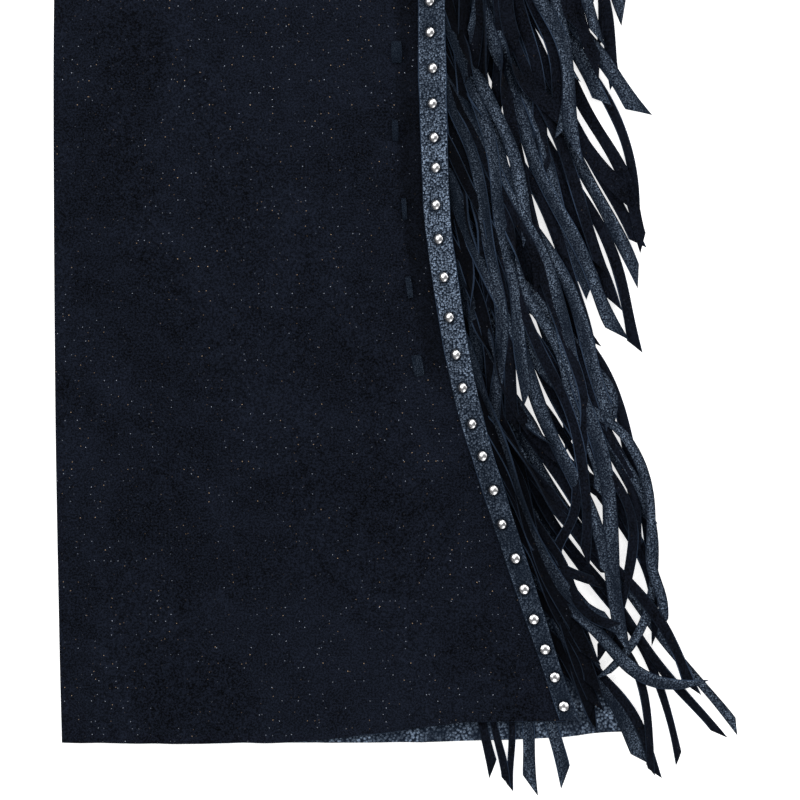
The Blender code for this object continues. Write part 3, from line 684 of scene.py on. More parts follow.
def shell(name, upper, lower):
    """A closed wall between two grids of points in metres, whose columns run in +X.

    Its upper face, lower face and cut edge take the finishes 0, 1 and 2 of its piece.
    """
    rows, columns = upper.shape[:2]
    points = np.vstack([upper.reshape(-1, 3), lower.reshape(-1, 3)])
    number = np.arange(rows * columns).reshape(rows, columns)
    under = number + rows * columns
    a, b, c, d = number[:-1, :-1], number[:-1, 1:], number[1:, 1:], number[1:, :-1]
    top = np.stack([a, b, c, d], axis=-1).reshape(-1, 4)
    bottom = top[:, ::-1] + rows * columns
    rim = []
    for line, beneath in (
        (number[0], under[0]), (number[:, -1], under[:, -1]),
        (number[-1][::-1], under[-1][::-1]), (number[:, 0][::-1], under[:, 0][::-1]),
    ):
        rim.append(np.stack([line[:-1], beneath[:-1], beneath[1:], line[1:]], axis=-1))
    rim = np.vstack(rim)
    faces = np.vstack([top, bottom, rim])
    numbers = [0] * len(top) + [1] * len(bottom) + [2] * len(rim)
    return mesh_of(name, points.tolist(), faces.tolist(), numbers)


def paint(mesh, name, values):
    """A number for each point of a mesh that its finish reads."""
    layer = mesh.attributes.new(name, "FLOAT", "POINT")
    layer.data.foreach_set("value", np.asarray(values, dtype=np.float32).ravel())


def paint_grid(mesh, name, values, side):
    """Paint a grid's values on both faces of the shell that was made from it."""
    values = values if side > 0 else values[:, ::-1]
    paint(mesh, name, np.concatenate([values.ravel(), values.ravel()]))


def trim(mesh, shape, columns=0, rows=0):
    """Give the outermost cells of a shell's upper face the look of its cut edge."""
    across, upwards = shape[1] - 1, shape[0] - 1
    for number in range(across * upwards):
        row, column = divmod(number, across)
        if min(column, across - 1 - column) < columns or row < rows:
            mesh.polygons[number].material_index = 2


def eased_shares(count, edge):
    """Shares from 0 to 1 for a row of points, with a few more close to both ends."""
    inner = np.linspace(edge, 1 - edge, count - 3)
    last = [1 - edge * 0.6, 1 - edge * 0.25, 1.0]
    return np.concatenate([[0.0, edge * 0.25, edge * 0.6], inner[1:-1], last])


def rounded_drop(distance, radius):
    """How far a rounded edge falls below its face at this distance from the edge."""
    left = np.clip(1 - distance / radius, 0, 1)
    return radius * (1 - np.sqrt(1 - left**2))


# Soft creases pressed into the front panels: (out, up) of the middle, length, width, degrees off
# straight up and height, all in millimetres
CREASES = (
    (62, 392, 150, 9, -28, 0.5),
    (120, 300, 120, 8, -38, -0.4),
    (176, 236, 140, 10, -18, 0.45),
    (58, 160, 110, 9, 24, -0.4),
    (140, 110, 150, 11, 62, 0.5),
    (216, 132, 90, 8, 12, -0.4),
    (98, 560, 170, 11, -20, 0.5),
    (170, 640, 150, 10, 16, -0.45),
    (80, 720, 120, 9, 40, 0.45),
    (150, 840, 140, 12, -32, 0.5),
    (90, 920, 110, 9, 22, -0.4),
)


def crease_height(out, up):
    """Sum of the soft ridges and troughs at arrays of places."""
    total = np.zeros_like(out)
    for mid_out, mid_up, length, width, turn, height in CREASES:
        lean = math.radians(turn)
        ahead = (out - mid_out) * math.sin(lean) + (up - mid_up) * math.cos(lean)
        aside = (out - mid_out) * math.cos(lean) - (up - mid_up) * math.sin(lean)
        bowed = aside - 6 * np.sin(ahead / length * 3)
        total += height * np.exp(-((bowed / width) ** 2) - (2 * ahead / length) ** 2)
    return total


def panel_grid(inner, outer, hem, rows, shares):
    """(out, up) of a panel's points, from edge to edge and from hem to top."""
    outs, ups = [], []
    for up in rows:
        low, high = inner(up), outer(up)
        out = low + shares * (high - low)
        hems = np.array([along(hem, value) for value in out]) if up < 120 else 0.0
        outs.append(out)
        ups.append(up + hems * (1 - ease(up / 120.0)))
    return np.array(outs), np.array([np.broadcast_to(row, shares.shape) for row in ups])


def placed(side, out, up, z):
    """Arrays of places in metres, with columns that run in +X on either side."""
    points = np.stack([side * (HEM_SPACING / 2 + out), up - GARMENT_MIDDLE_UP, z], axis=-1) * MM
    return points if side > 0 else points[:, ::-1]


def row_heights(top, spacing):
    """Heights of a panel's rows, closer together at the raw hem and at the top."""
    inner = np.linspace(4.0, top - 3.0, int(top / spacing))
    return np.concatenate([[0.0, 0.35, 1.0, 2.2], inner, [top - 1.2, top - 0.4, top]])


def fine_height(function, out, up):
    """A function of (out, up) worked out for each point of two grids."""
    return np.array([[function(a, b) for a, b in zip(*rows)] for rows in zip(out, up)])


def edge_distance(out, up, rows_top):
    """Distance of each point of a grid from the nearest edge of its panel."""
    sideways = np.minimum(out - out[:, :1], out[:, -1:] - out)
    upwards = np.minimum(up - up[:1], rows_top - up)
    return np.minimum(sideways, upwards)


def wander(values, rough, seed):
    """Small uneven shifts along a cut edge."""
    rng = np.random.default_rng(seed)
    waves = rng.uniform(0, 6.28, 8)
    lengths = np.array([3.1, 4.7, 7.3, 11.0, 17.0, 29.0, 53.0, 90.0])
    total = sum(math.sqrt(k + 1) * np.sin(values / lengths[k] + waves[k]) for k in range(8))
    return rough * total / 8


def build_front(side, word):
    """Front panel of one leg: suede out, with soft waves, creases and a valley beside the strip, with
    painted shade on the suede beside and under the strip.
    """
    shares = eased_shares(74, 0.012)
    rows = row_heights(PANEL_TOP_UP, 4.4)
    out, up = panel_grid(lambda v: along(FRONT_INNER, v), front_outer, FRONT_HEM, rows, shares)
    near_hem = np.clip(1 - up / 14.0, 0, 1)
    up = up + wander(out, 0.45, 3) * near_hem
    lift = fine_height(front_lift, out, up)
    inner = np.array([[strip_inner(value)] for value in up[:, 0]])
    fade = np.clip((inner - 8 - out) / 30.0, 0, 1) * np.clip(out / 20.0, 0, 1)
    lift = lift + crease_height(out, up) * fade
    laced = np.clip((up - 225) / 30.0, 0, 1) * np.clip((905 - up) / 40.0, 0, 1)
    valley = np.exp(-(((inner - 9 - out) / 5.5) ** 2)) * laced
    lift = lift - 0.45 * valley
    lift = np.maximum(lift, LEATHER + 0.05)
    distance = edge_distance(out, up, PANEL_TOP_UP)
    drop = rounded_drop(distance, 0.8)
    fold = 0.9 * np.clip(1 - out / 5.0, 0, 1) ** 2 * (up < CROTCH_UP)
    upper = placed(side, out, up, lift + LEATHER - drop - fold)
    lower = placed(side, out, up, lift + 0.6 * drop - 0.4 * fold)
    mesh = shell(f"front_panel_{word}", upper, lower)
    trim(mesh, out.shape, 0, 1)
    # Painted shade on the suede in a band beside the strip and under it, along the laced part of the leg.
    paint_grid(mesh, "painted_shade", 0.5 * np.clip((out - inner + 17) / 6.0, 0, 1) * laced, side)
    made = piece(mesh.name, mesh, ("suede", "grain", "cut_edge"), (f"leg_front_{word}",))
    return made


def build_back(side, word):
    """Back panel of one leg, grain side up where the front doesn't cover it."""
    shares = eased_shares(46, 0.012)
    top = BELT_LOW_UP - SEAM_GAP
    rows = row_heights(top, 7.5)
    out, up = panel_grid(lambda v: along(BACK_INNER, v), back_outer, BACK_HEM, rows, shares)
    up = up + wander(out, 0.4, 5) * np.clip(1 - up / 14.0, 0, 1)
    distance = edge_distance(out, up, top)
    drop = rounded_drop(distance, 0.7)
    upper = placed(side, out, up, LEATHER - drop)
    lower = placed(side, out, up, 0.0 * drop)
    mesh = shell(f"back_panel_{word}", upper, lower)
    made = piece(mesh.name, mesh, ("grain_inside", "suede", "cut_edge"), (f"leg_back_{word}",))
    return made


def build_strip(side, word):
    """Studded strip: a long strap of grain leather that dips a little round each stud, with a ring of
    painted shade round each stud and painted highlights along it.
    """
    studs = stud_places()
    ups = np.arange(STRIP_LOW_UP, STRIP_HIGH_UP + 1.0, 1.4)
    shares = eased_shares(19, 0.05)
    out = np.array([strip_inner(up) + shares * (strip_outer(up) - strip_inner(up)) for up in ups])
    up = np.repeat(ups[:, None], len(shares), axis=1)
    edge = np.abs(shares - 0.5)[None] * 2
    out = out + (edge**6) * np.sign(shares - 0.5)[None] * wander(up, 0.35, 11)
    top = fine_height(lambda a, b: strip_top(a, b)[0], out, up)
    kernel = np.array([1, 2, 3, 2, 1]) / 9
    padded = np.pad(top, ((0, 0), (2, 2)), mode="edge")
    top = sum(kernel[k] * padded[:, k : k + top.shape[1]] for k in range(5))
    distance = edge_distance(out, up, STRIP_HIGH_UP)
    painted_shade = np.zeros_like(out)
    for height, shift in studs:
        middle = along(OUTSEAM, height) - 0.6 + shift
        reach = np.hypot(out - middle, up - height)
        top = top - 0.35 * np.exp(-((reach / 5.2) ** 2))
        # Painted shade in a thin ring round the stud's rim.
        painted_shade = np.maximum(painted_shade, np.exp(-(((reach - 3.6) / 0.9) ** 2)))
    top = top - rounded_drop(distance, 0.55)
    under = top - STRIP_THICKNESS + 0.6 * rounded_drop(distance, 0.55)
    mesh = shell(f"studded_strip_{word}", placed(side, out, up, top), placed(side, out, up, under))
    trim(mesh, out.shape, 2)
    paint_grid(mesh, "painted_shade", painted_shade, side)
    # Strength of the painted highlights on the pebbles: strongest at knee height, weaker at the thigh, and
    # raised along both edges.
    painted_highlight = 0.85 * np.exp(-(((up - 330) / 120) ** 2)) + 0.3 * np.exp(-(((up - 720) / 120) ** 2))
    painted_highlight = painted_highlight + 0.3 * np.exp(-(((1 - edge) / 0.14) ** 2))
    paint_grid(mesh, "painted_highlight", painted_highlight, side)
    made = piece(mesh.name, mesh, ("grain", "suede", "cut_edge"), (f"stud_strip_{word}",))
    return made


def select_only(obj):
    bpy.ops.object.select_all(action="DESELECT")
    obj.select_set(True)
    bpy.context.view_layer.objects.active = obj


def edit_whole():
    """Go into edit mode with the whole mesh of the active object selected."""
    bpy.ops.object.mode_set(mode="EDIT")
    bpy.ops.mesh.select_all(action="SELECT")


def leave_closed():
    """Turn every face of the edited mesh outwards and leave edit mode."""
    bpy.ops.mesh.select_all(action="SELECT")
    bpy.ops.mesh.normals_make_consistent(inside=False)
    bpy.ops.object.mode_set(mode="OBJECT")


def round_edges(obj, width_mm, segments):
    """Round the sharp edges of the active object."""
    rounding = obj.modifiers.new("Rounding", "BEVEL")
    rounding.width = width_mm * MM
    rounding.segments = segments
    rounding.limit_method = "ANGLE"
    bpy.ops.object.modifier_apply(modifier=rounding.name)


def dome_stud():
    """One dome stud at the origin: the cap of a ball, on a short wall."""
    radius, cap, wall = STUD_RADIUS * MM, STUD_CAP * MM, STUD_WALL * MM
    ball = (radius**2 + cap**2) / (2 * cap)
    bpy.ops.object.select_all(action="DESELECT")
    bpy.ops.mesh.primitive_uv_sphere_add(
        segments=18, ring_count=26, radius=ball, location=(0, 0, wall + cap - ball),
    )
    stud = bpy.context.object
    select_only(stud)
    bpy.ops.object.transform_apply(location=True, rotation=False, scale=False)
    edit_whole()
    bpy.ops.mesh.bisect(plane_co=(0, 0, wall), plane_no=(0, 0, 1), clear_inner=True, use_fill=True)
    bpy.ops.mesh.select_all(action="DESELECT")
    bpy.ops.object.mode_set(mode="OBJECT")
    for face in stud.data.polygons:
        face.select = face.center.z < wall + 1e-6
    bpy.ops.object.mode_set(mode="EDIT")
    bpy.ops.mesh.extrude_region_move(TRANSFORM_OT_translate={"value": (0, 0, -wall - 0.5 * MM)})
    leave_closed()
    mesh = stud.data
    bpy.data.objects.remove(stud)
    return mesh


def copies(name, pattern, matrices):
    """One mesh that holds a copy of a pattern mesh at each of these places."""
    count = len(pattern.vertices)
    points = np.empty(count * 3)
    pattern.vertices.foreach_get("co", points)
    points = points.reshape(-1, 3)
    faces = [list(face.vertices) for face in pattern.polygons]
    all_points, all_faces = [], []
    for turn, matrix in enumerate(matrices):
        turned = np.array(matrix)
        all_points.append(points @ turned[:3, :3].T + turned[:3, 3])
        all_faces += [[index + turn * count for index in face] for face in faces]
    return mesh_of(name, np.vstack(all_points).tolist(), all_faces, [0] * len(all_faces), 60.0)


def build_studs(side, word, pattern):
    """Row of dome studs, each tilted with the strip under it."""
    matrices = []
    for up, shift in stud_places():
        out = along(OUTSEAM, up) - 0.6 + shift
        slopes = [strip_top(out + k * STUD_RADIUS, up)[1] for k in (-0.6, 0, 0.6)]
        tilt = math.atan(sum(slopes) / 3)
        spot = place(side, out, up, strip_top(out, up)[0] - 0.15)
        matrices.append(Matrix.Translation(spot) @ Matrix.Rotation(-side * tilt, 4, "Y"))
    mesh = copies(f"studs_{word}", pattern, matrices)
    return piece(mesh.name, mesh, ("nickel",))


# Fringe
def smooth_step(values, low, high):
    t = np.clip((values - low) / (high - low), 0, 1)
    return t * t * (3 - 2 * t)


def strand_course(path, width, rng):
    """Evenly spaced points down the middle of a strand, their run, and how far its tip slants."""
    steps = np.linalg.norm(np.diff(path, axis=0), axis=1)
    run = np.concatenate([[0], np.cumsum(steps)])
    slant = min(width * rng.uniform(1.2, 2.0), run[-1] * 0.25)
    marks = np.linspace(0, run[-1], max(10, int(run[-1] / 4.8)))
    line = np.stack([np.interp(marks, run, path[:, k]) for k in (0, 1)], axis=-1)
    for _ in range(3):
        line[1:-1] = (line[:-2] + 2 * line[1:-1] + line[2:]) / 4
    return line, marks, slant


def strand_roll(marks, edgeways, rng):
    """How far a strand is rolled about its own length: nearly flat, up on its edge, or turned over."""
    end = marks[-1]
    roll = math.radians(rng.uniform(6, 24)) * np.sin(marks / rng.uniform(24, 55) + rng.uniform(0, 6.28))
    roll = roll * (1 - smooth_step(marks, end - 60, end - 20))
    style = rng.uniform()
    way = rng.choice((-1, 1))
    start = rng.uniform(12, 80)
    if style < edgeways:
        stop = start + rng.uniform(50, 150)
        raised_by = smooth_step(marks, start, start + 32) * (1 - smooth_step(marks, stop, stop + 40))
        raised_by = raised_by * (1 - smooth_step(marks, end - 62, end - 24))
        roll = roll * (1 - raised_by) + way * math.radians(rng.uniform(62, 88)) * raised_by
    elif style < edgeways + 0.2 and end > 140:
        start = min(start + 30, end - 85)
        roll = roll + way * math.pi * smooth_step(marks, start, start + 55)
    return roll * np.clip(marks / 30.0, 0, 1)


def strand_rings(side, strand, path, z, edgeways, rng):
    """Cross-sections of one strand, as an array of rings of eight places in metres."""
    line, marks, slant = strand_course(path, strand.width, rng)
    free = np.clip(marks / 40.0, 0, 1)
    heading = np.gradient(line, axis=0)
    heading /= np.linalg.norm(heading, axis=1)[:, None]
    across = np.stack([-heading[:, 1], heading[:, 0]], axis=-1)
    drift = rng.uniform(0.8, 3.0) * np.sin(marks / rng.uniform(13, 26) + rng.uniform(0, 6.28)) * free
    line = line + across * drift[:, None]
    roll = strand_roll(marks, edgeways, rng)
    half = strand.width / 2 * (1 + 0.07 * np.sin(marks / 11.0 + rng.uniform(0, 6.28)))
    thick = FRINGE_THICKNESS / 2
    cup = rng.uniform(0.3, 1.0)
    sway = 0.4 * np.sin(marks / rng.uniform(18, 30) + rng.uniform(0, 6.28)) * free
    middle = z(line[:, 0], line[:, 1]) + thick + sway
    middle += np.abs(np.sin(roll)) * half * 0.6
    middle = np.maximum(middle, 0.15 + (thick + cup) * np.abs(np.cos(roll)) + half * np.abs(np.sin(roll)))
    bevel = min(0.6, strand.width * 0.1)
    slant_way = rng.choice((-1, 1), p=(0.7, 0.3))
    sideways = np.stack([-half, -half, bevel - half, 0 * half, half - bevel, half, half, 0 * half], axis=-1)
    rise = np.array([-thick, 0.1 * thick, thick, thick + cup, thick, 0.1 * thick, -thick, cup - thick])
    turn = roll[:, None]
    shift = sideways * np.cos(turn) - rise * np.sin(turn)
    height = middle[:, None] + sideways * np.sin(turn) + rise * np.cos(turn)
    spots = line[:, None] + across[:, None] * shift[..., None]
    cut = slant * np.clip((marks - marks[-1]) / (2 * slant) + 1, 0, 1) ** 1.5 * slant_way
    spots -= heading[:, None] * (cut[:, None] * sideways / half[:, None] / 2)[..., None]
    x = side * (HEM_SPACING / 2 + spots[..., 0])
    return np.stack([x, spots[..., 1] - GARMENT_MIDDLE_UP, height], axis=-1) * MM


def strand_flow(strand, path):
    """A strand's middle line as it flows out from under the strip, smoother than its solid's."""
    head = (strip_outer(strand.root + 9) - 4.5, strand.root + 9)
    return curve([head, *(path[7::6] if path is not None else strand.course)], 40)


def tube_faces(index):
    """Walls and end caps of a tube, from the point numbers of its rings."""
    ahead = np.roll(index, -1, axis=1)
    walls = np.stack([index[:-1], ahead[:-1], ahead[1:], index[1:]], axis=-1).reshape(-1, 4)
    return [*walls.tolist(), index[0, ::-1].tolist(), index[-1].tolist()]


def build_strands(name, strands, side, z, replaced, backing, seed, edgeways, painted_shade):
    """A layer of cut strands on its backing, as thin straps that roll and curl a little.

    strands holds (strand, path, whether its grain side is up). Each is drawn as rings of eight
    points, whose faces are the cut edge, the upper side, the cut edge again and the lower side.
    backing holds its (near, far) lines, its underside and its top. The last argument is how much
    painted shade darkens the strands where they lie close to the strip; the backing is wholly in painted
    shade.
    """
    rng = np.random.default_rng(seed)
    points, faces, numbers, crown_highlight, shadow = [], [], [], [], []
    count = 0
    for strand, path, grain_up in strands:
        rings = strand_rings(side, strand, path, z, edgeways, rng)
        points.append(rings.reshape(-1, 3))
        size = len(rings)
        # Painted highlight along each strand's crown, wandering from side to side down its length.
        lit = np.sin(np.arange(size) / rng.uniform(3, 7) + rng.uniform(0, 6.28))
        dull = 0 * lit
        crown_highlight.append(np.stack([dull, dull, lit, 1 - abs(lit), -lit, dull, dull, 1 + dull], axis=-1))
        # Painted shade on the strands close to the strip.
        spread = np.array([near - strip_outer(high) for near, high in path])
        spread = np.interp(np.linspace(0, 1, size), np.linspace(0, 1, len(path)), spread)
        shadow += np.repeat(painted_shade * np.exp(-(np.clip(spread, 0, None) / 24.0) ** 2), 8).tolist()
        faces += tube_faces(count + np.arange(size * 8).reshape(size, 8))
        up_kind = int(grain_up)
        numbers += [2, 2, up_kind, up_kind, 2, 2, 1 - up_kind, 1 - up_kind] * (size - 1) + [2, 2]
        count += size * 8
    lines, low, high = backing
    corners = ((0, low), (1, low), (1, high), (0, high))
    spots = [place(side, *line[end], level) for line in lines for end, level in corners]
    points.append(np.array(spots))
    backing_faces = tube_faces(count + np.arange(len(spots)).reshape(-1, 4))
    faces += backing_faces
    numbers += [1] * len(backing_faces)
    mesh = mesh_of(name, np.vstack(points).tolist(), faces, numbers)
    crown_highlight = np.append(np.clip(np.vstack(crown_highlight), 0, 1), np.zeros(len(spots)))
    paint(mesh, "painted_highlight", 0.6 * crown_highlight)
    # Painted shade: the strands near the strip, and the whole backing.
    paint(mesh, "painted_shade", np.array(shadow + [1] * len(spots)))
    face_outwards(mesh)
    return piece(name, mesh, ("suede_strand", "grain_strand", "cut_edge"), replaced)


def face_outwards(mesh):
    """Turn every face of a closed mesh outwards."""
    solid = bmesh.new()
    solid.from_mesh(mesh)
    bmesh.ops.recalc_face_normals(solid, faces=solid.faces)
    solid.to_mesh(mesh)
    solid.free()


def finer_strands(layers):
    """Strands that the solids leave out, for the upper layers."""
    laid = {row[0] for layer in layers for row in layer}
    extra = [*OPEN_STRANDS, *DENSE_STRANDS, *(raised(row, REPEAT_RISE) for row in DENSE_STRANDS)]
    extra += [row for row in STEEP if row not in laid]
    for turn in range(1, REPEATS + 1):
        extra += [raised(row, turn * REPEAT_RISE) for row in STEEP if row.root > 320]
    return [row for row in extra if row.root < HIGHEST_ROOT]


def build_fringe(side, word, layers):
    """Seven layers of long strands along the outseam."""
    extra = finer_strands(layers)
    for layer, laid in enumerate(layers):
        rng = np.random.default_rng(500 + layer)
        strands = []
        rows = [(strand, path) for strand, path, _ in laid]
        mixed = layer >= FIRST_MIXED_LAYER
        if mixed:
            share = slice(layer - FIRST_MIXED_LAYER, None, MIXED_LAYERS)
            rows += [(strand, strand_path(strand)) for strand in extra[share]]
            rows += [(strand, None) for strand in WINDING_STRANDS[share]]
        for strand, path in rows:
            known = strand.root < REPEAT_FROM + REPEAT_RISE
            grain_up = strand.root in GRAIN_ROOTS if known else rng.uniform() < 0.5
            strands.append((strand, strand_flow(strand, path), grain_up))
        first = laid[0][0].root - laid[0][0].width / 2 - 6
        last = laid[-1][0].root + laid[-1][0].width / 2 + 6
        lines = []
        for up in np.arange(first, last + 6, 12.0):
            outer = strip_outer(up) - 1.0
            lines.append(((outer - BACKING_WIDTH, up), (outer + 0.4, up)))
        low = LEATHER + SEAM_GAP + layer * FRINGE_STEP

        def height(out, up, layer=layer):
            level = np.array([strand_height(a, b, layer) for a, b in zip(out, up)])
            return level + layer * 0.3 * smooth_step(out - [strip_outer(value) for value in up], 0, 30)

        build_strands(
            f"fringe_layer_{word}_{layer + 1}", strands, side, height, (f"fringe_{word}_{layer + 1}",),
            (lines, low, low + FRINGE_THICKNESS), 100 + layer, 0.22 if mixed else 0.06, 0.8,
        )
    build_hem_fringe(side, word)


def build_hem_fringe(side, word):
    """Short strands that come out between front and back below the front hem."""
    low_up, high_up = HEM_BACKING_UP
    strands = []
    for strand in HEM_STRANDS:
        start = np.array([strand.root, low_up + 0.4])
        tip = np.array([strand.tip_out, strand.tip_up])
        share = np.linspace(0, 1, 16)[:, None]
        bow = np.hstack([math.sin(math.radians(strand.lean)) * 24 * share * (1 - share), 0 * share])
        strands.append((strand, start + (tip - start) * share - bow, strand.width > 7))
    low = LEATHER + SEAM_GAP
    first = HEM_STRANDS[0].root - HEM_STRANDS[0].width / 2 - 4
    last = HEM_STRANDS[-1].root + HEM_STRANDS[-1].width / 2
    lines = [((out, high_up), (out, low_up)) for out in np.linspace(first, last, 8)]
    build_strands(
        f"fringe_under_hem_{word}", strands, side, lambda out, up: 0 * out + low,
        (f"fringe_hem_{word}",), (lines, low, low + FRINGE_THICKNESS), 77, 0.0, 0.0,
    )


def thong_stitch():
    """One thong stitch at the origin: a block arched and rounded."""
    bpy.ops.object.select_all(action="DESELECT")
    bpy.ops.mesh.primitive_cube_add(size=1.0)
    thong = bpy.context.object
    select_only(thong)
    thong.scale = (THONG_WIDTH * MM, STITCH_LENGTH * MM, THONG_THICKNESS * MM)
    bpy.ops.object.transform_apply(location=False, rotation=False, scale=True)
    edit_whole()
    bpy.ops.mesh.subdivide(number_cuts=7)
    bpy.ops.object.mode_set(mode="OBJECT")
    for vert in thong.data.vertices:
        share = abs(vert.co.y) / (STITCH_LENGTH / 2 * MM)
        vert.co.x *= 1 - 0.14 * share**2
        vert.co.z += (1.5 - 1.9 * share**2.2 + 0.25 * (1 - (vert.co.x / (THONG_WIDTH / 2 * MM)) ** 2)) * MM
    round_edges(thong, 0.3, 2)
    mesh = thong.data
    bpy.data.objects.remove(thong)
    return mesh


def build_lacing(side, word, pattern):
    """Running stitches of thong beside the strip."""
    matrices = []
    for turn, up in enumerate(np.arange(*STITCH_SPAN, STITCH_PITCH)):
        out = along(OUTSEAM, up) - STITCH_INSETS[turn % len(STITCH_INSETS)]
        spot = place(side, out, up, front_top(out, up) + 0.35)
        lean = math.radians(outseam_angle(up)) * side
        width = STITCH_WIDTHS[turn % len(STITCH_WIDTHS)]
        matrices.append(
            Matrix.Translation(spot) @ Matrix.Rotation(lean, 4, "Z") @ Matrix.Diagonal((width, 1, 1, 1))
        )
    mesh = copies(f"lacing_{word}", pattern, matrices)
    nodes = [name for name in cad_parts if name.startswith(f"lace_{word}")]
    return piece(mesh.name, mesh, ("thong",), nodes)


# Belt and buckle
def belt_path():
    """(x, z) down the middle of the belt's thickness, from the buckle end round to the free tip."""
    half = LEATHER / 2
    front = BELT_FRONT_Z
    radius = (front - half) / 2
    bar_top = front + half + SEAM_GAP + BUCKLE_BAR
    path = [(-BUCKLE_LENGTH / 2 + BUCKLE_BAR + SEAM_GAP, front), (-130, front)]
    for k in range(7):
        angle = math.radians(90 + 30 * k)
        path.append((-BELT_SIDE_X + radius * math.cos(angle), half + radius + radius * math.sin(angle)))
    path.append((0, half))
    for k in range(7):
        angle = math.radians(-90 + 30 * k)
        path.append((BELT_SIDE_X + radius * math.cos(angle), half + radius + radius * math.sin(angle)))
    path += [(130, front), (BUCKLE_LENGTH / 2 - 1, front), (BUCKLE_LENGTH / 2 - 14, front + 1.2)]
    over = bar_top + SEAM_GAP + half
    path += [(-BUCKLE_LENGTH / 2 + 9, over), (-BUCKLE_LENGTH / 2 - 5, over)]
    tail = front + LEATHER + SEAM_GAP + 0.3
    path += [(-BUCKLE_LENGTH / 2 - 22, tail), (-104, tail)]
    return np.array(path)


def build_belt():
    """The belt: a strap pressed flat round the panels' tops, its free end through the buckle."""
    path = dense(belt_path(), 5.0)
    heading = np.gradient(path, axis=0)
    heading /= np.linalg.norm(heading, axis=1)[:, None]
    normal = np.stack([-heading[:, 1], heading[:, 0]], axis=-1)
    run = np.concatenate([[0], np.cumsum(np.linalg.norm(np.diff(path, axis=0), axis=1))])
    low, high = BELT_LOW_UP + 2, BELT_HIGH_UP
    middle = (low + high) / 2
    taper = np.clip((run - run[-1] + 20) / 20.0, 0, 1)
    half = (high - low) / 2 - 8 * taper**2
    shares = eased_shares(17, 0.03) * 2 - 1
    upper, lower = [], []
    for k in range(len(path)):
        edge = half[k] * (1 - np.abs(shares))
        drop = rounded_drop(edge, 0.6)
        for grid, way in ((upper, 1), (lower, -1)):
            spot = path[k] + normal[k] * way * LEATHER / 2
            x = spot[0] - way * normal[k][0] * drop
            z = spot[1] - way * normal[k][1] * drop
            y = middle + shares * half[k] - GARMENT_MIDDLE_UP
            grid.append(np.stack([x, y, z], axis=-1) * MM)
    mesh = shell("belt_strap", np.array(upper), np.array(lower))
    face_outwards(mesh)
    made = piece(mesh.name, mesh, ("grain", "suede", "cut_edge"), ("belt",))
    return made


def build_buckle():
    """Square nickel frame with rounded bars, and its prong."""
    low = BELT_FRONT_Z + LEATHER / 2 + SEAM_GAP
    middle = (BELT_LOW_UP + 2 + BELT_HIGH_UP) / 2 - GARMENT_MIDDLE_UP
    bpy.ops.object.select_all(action="DESELECT")
    bpy.ops.mesh.primitive_plane_add(size=1.0, location=(0, middle * MM, low * MM))
    buckle = bpy.context.object
    select_only(buckle)
    buckle.scale = (BUCKLE_LENGTH * MM, BUCKLE_HEIGHT * MM, 1)
    bpy.ops.object.transform_apply(location=True, rotation=False, scale=True)
    edit_whole()
    bpy.ops.mesh.inset(thickness=BUCKLE_BAR * MM)
    bpy.ops.mesh.delete(type="ONLY_FACE")
    bpy.ops.mesh.select_all(action="SELECT")
    bpy.ops.mesh.extrude_region_move(TRANSFORM_OT_translate={"value": (0, 0, BUCKLE_BAR * MM)})
    leave_closed()
    round_edges(buckle, 1.3, 3)
    adopt(buckle, "buckle_frame", "nickel", "buckle")

    bpy.ops.object.select_all(action="DESELECT")
    top = (low + BUCKLE_BAR + SEAM_GAP + 1.0) * MM
    turn = (0, math.radians(90), 0)
    bpy.ops.mesh.primitive_cylinder_add(
        vertices=20, radius=PRONG_RADIUS * MM, depth=PRONG_LENGTH * MM,
        location=(13 * MM, middle * MM, top), rotation=turn,
    )
    prong = bpy.context.object
    select_only(prong)
    bpy.ops.object.transform_apply(location=True, rotation=True, scale=True)
    round_edges(prong, 0.6, 3)
    adopt(prong, "buckle_tongue", "nickel", "buckle_prong")


def adopt(obj, name, kind, node):
    """Name a modelled object as a piece, give it its finish and let it stand for a node."""
    obj.name = name
    obj.data.name = name
    obj.data.materials.clear()
    obj.data.materials.append(finish(kind).material)
    obj.data.shade_smooth()
    obj.data.set_sharp_from_angle(angle=math.radians(40))
    finish(kind).slot
    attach(obj, "root")
    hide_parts(node)


# Add-on
def colour(name, description, default):
    """A colour setting."""
    return FloatVectorProperty(
        name=name, description=description, subtype="COLOR", size=3, min=0, max=1, default=default,
    )


def strength(name, description, default):
    """A setting from none to full."""
    return FloatProperty(
        name=name, description=description, default=default, min=0, max=1, subtype="FACTOR",
    )


class ChapsSettings(bpy.types.PropertyGroup):
    """Colours and sizes that a user would change."""

    suede_colour: colour("Suede", "Colour of the rough-out side", (0.0048, 0.0065, 0.0116))
    grain_colour: colour("Grain", "Colour of the pebbled side", (0.0085, 0.0135, 0.025))
    # The glints are painted highlights on the pebble tops of the grain leather.
    glint_colour: colour("Glints", "Colour of the worn pebbles", (0.30, 0.39, 0.53))
    edge_colour: colour("Cut edge", "Colour of the raw cut edges", (0.029, 0.047, 0.082))
    nap: strength("Nap", "Strength of the suede's nap", 0.55)
    pebble: strength("Pebble", "Strength of the grain's pebbles", 0.8)
    floor_colour: colour("Floor", "Colour of the surface that the chaps lie on", (0.93, 0.93, 0.93))
    camera_height: FloatProperty(
        name="Camera height", description="Height of the camera above the floor",
        default=1.2328, min=0.2, max=10, unit="LENGTH",
    )


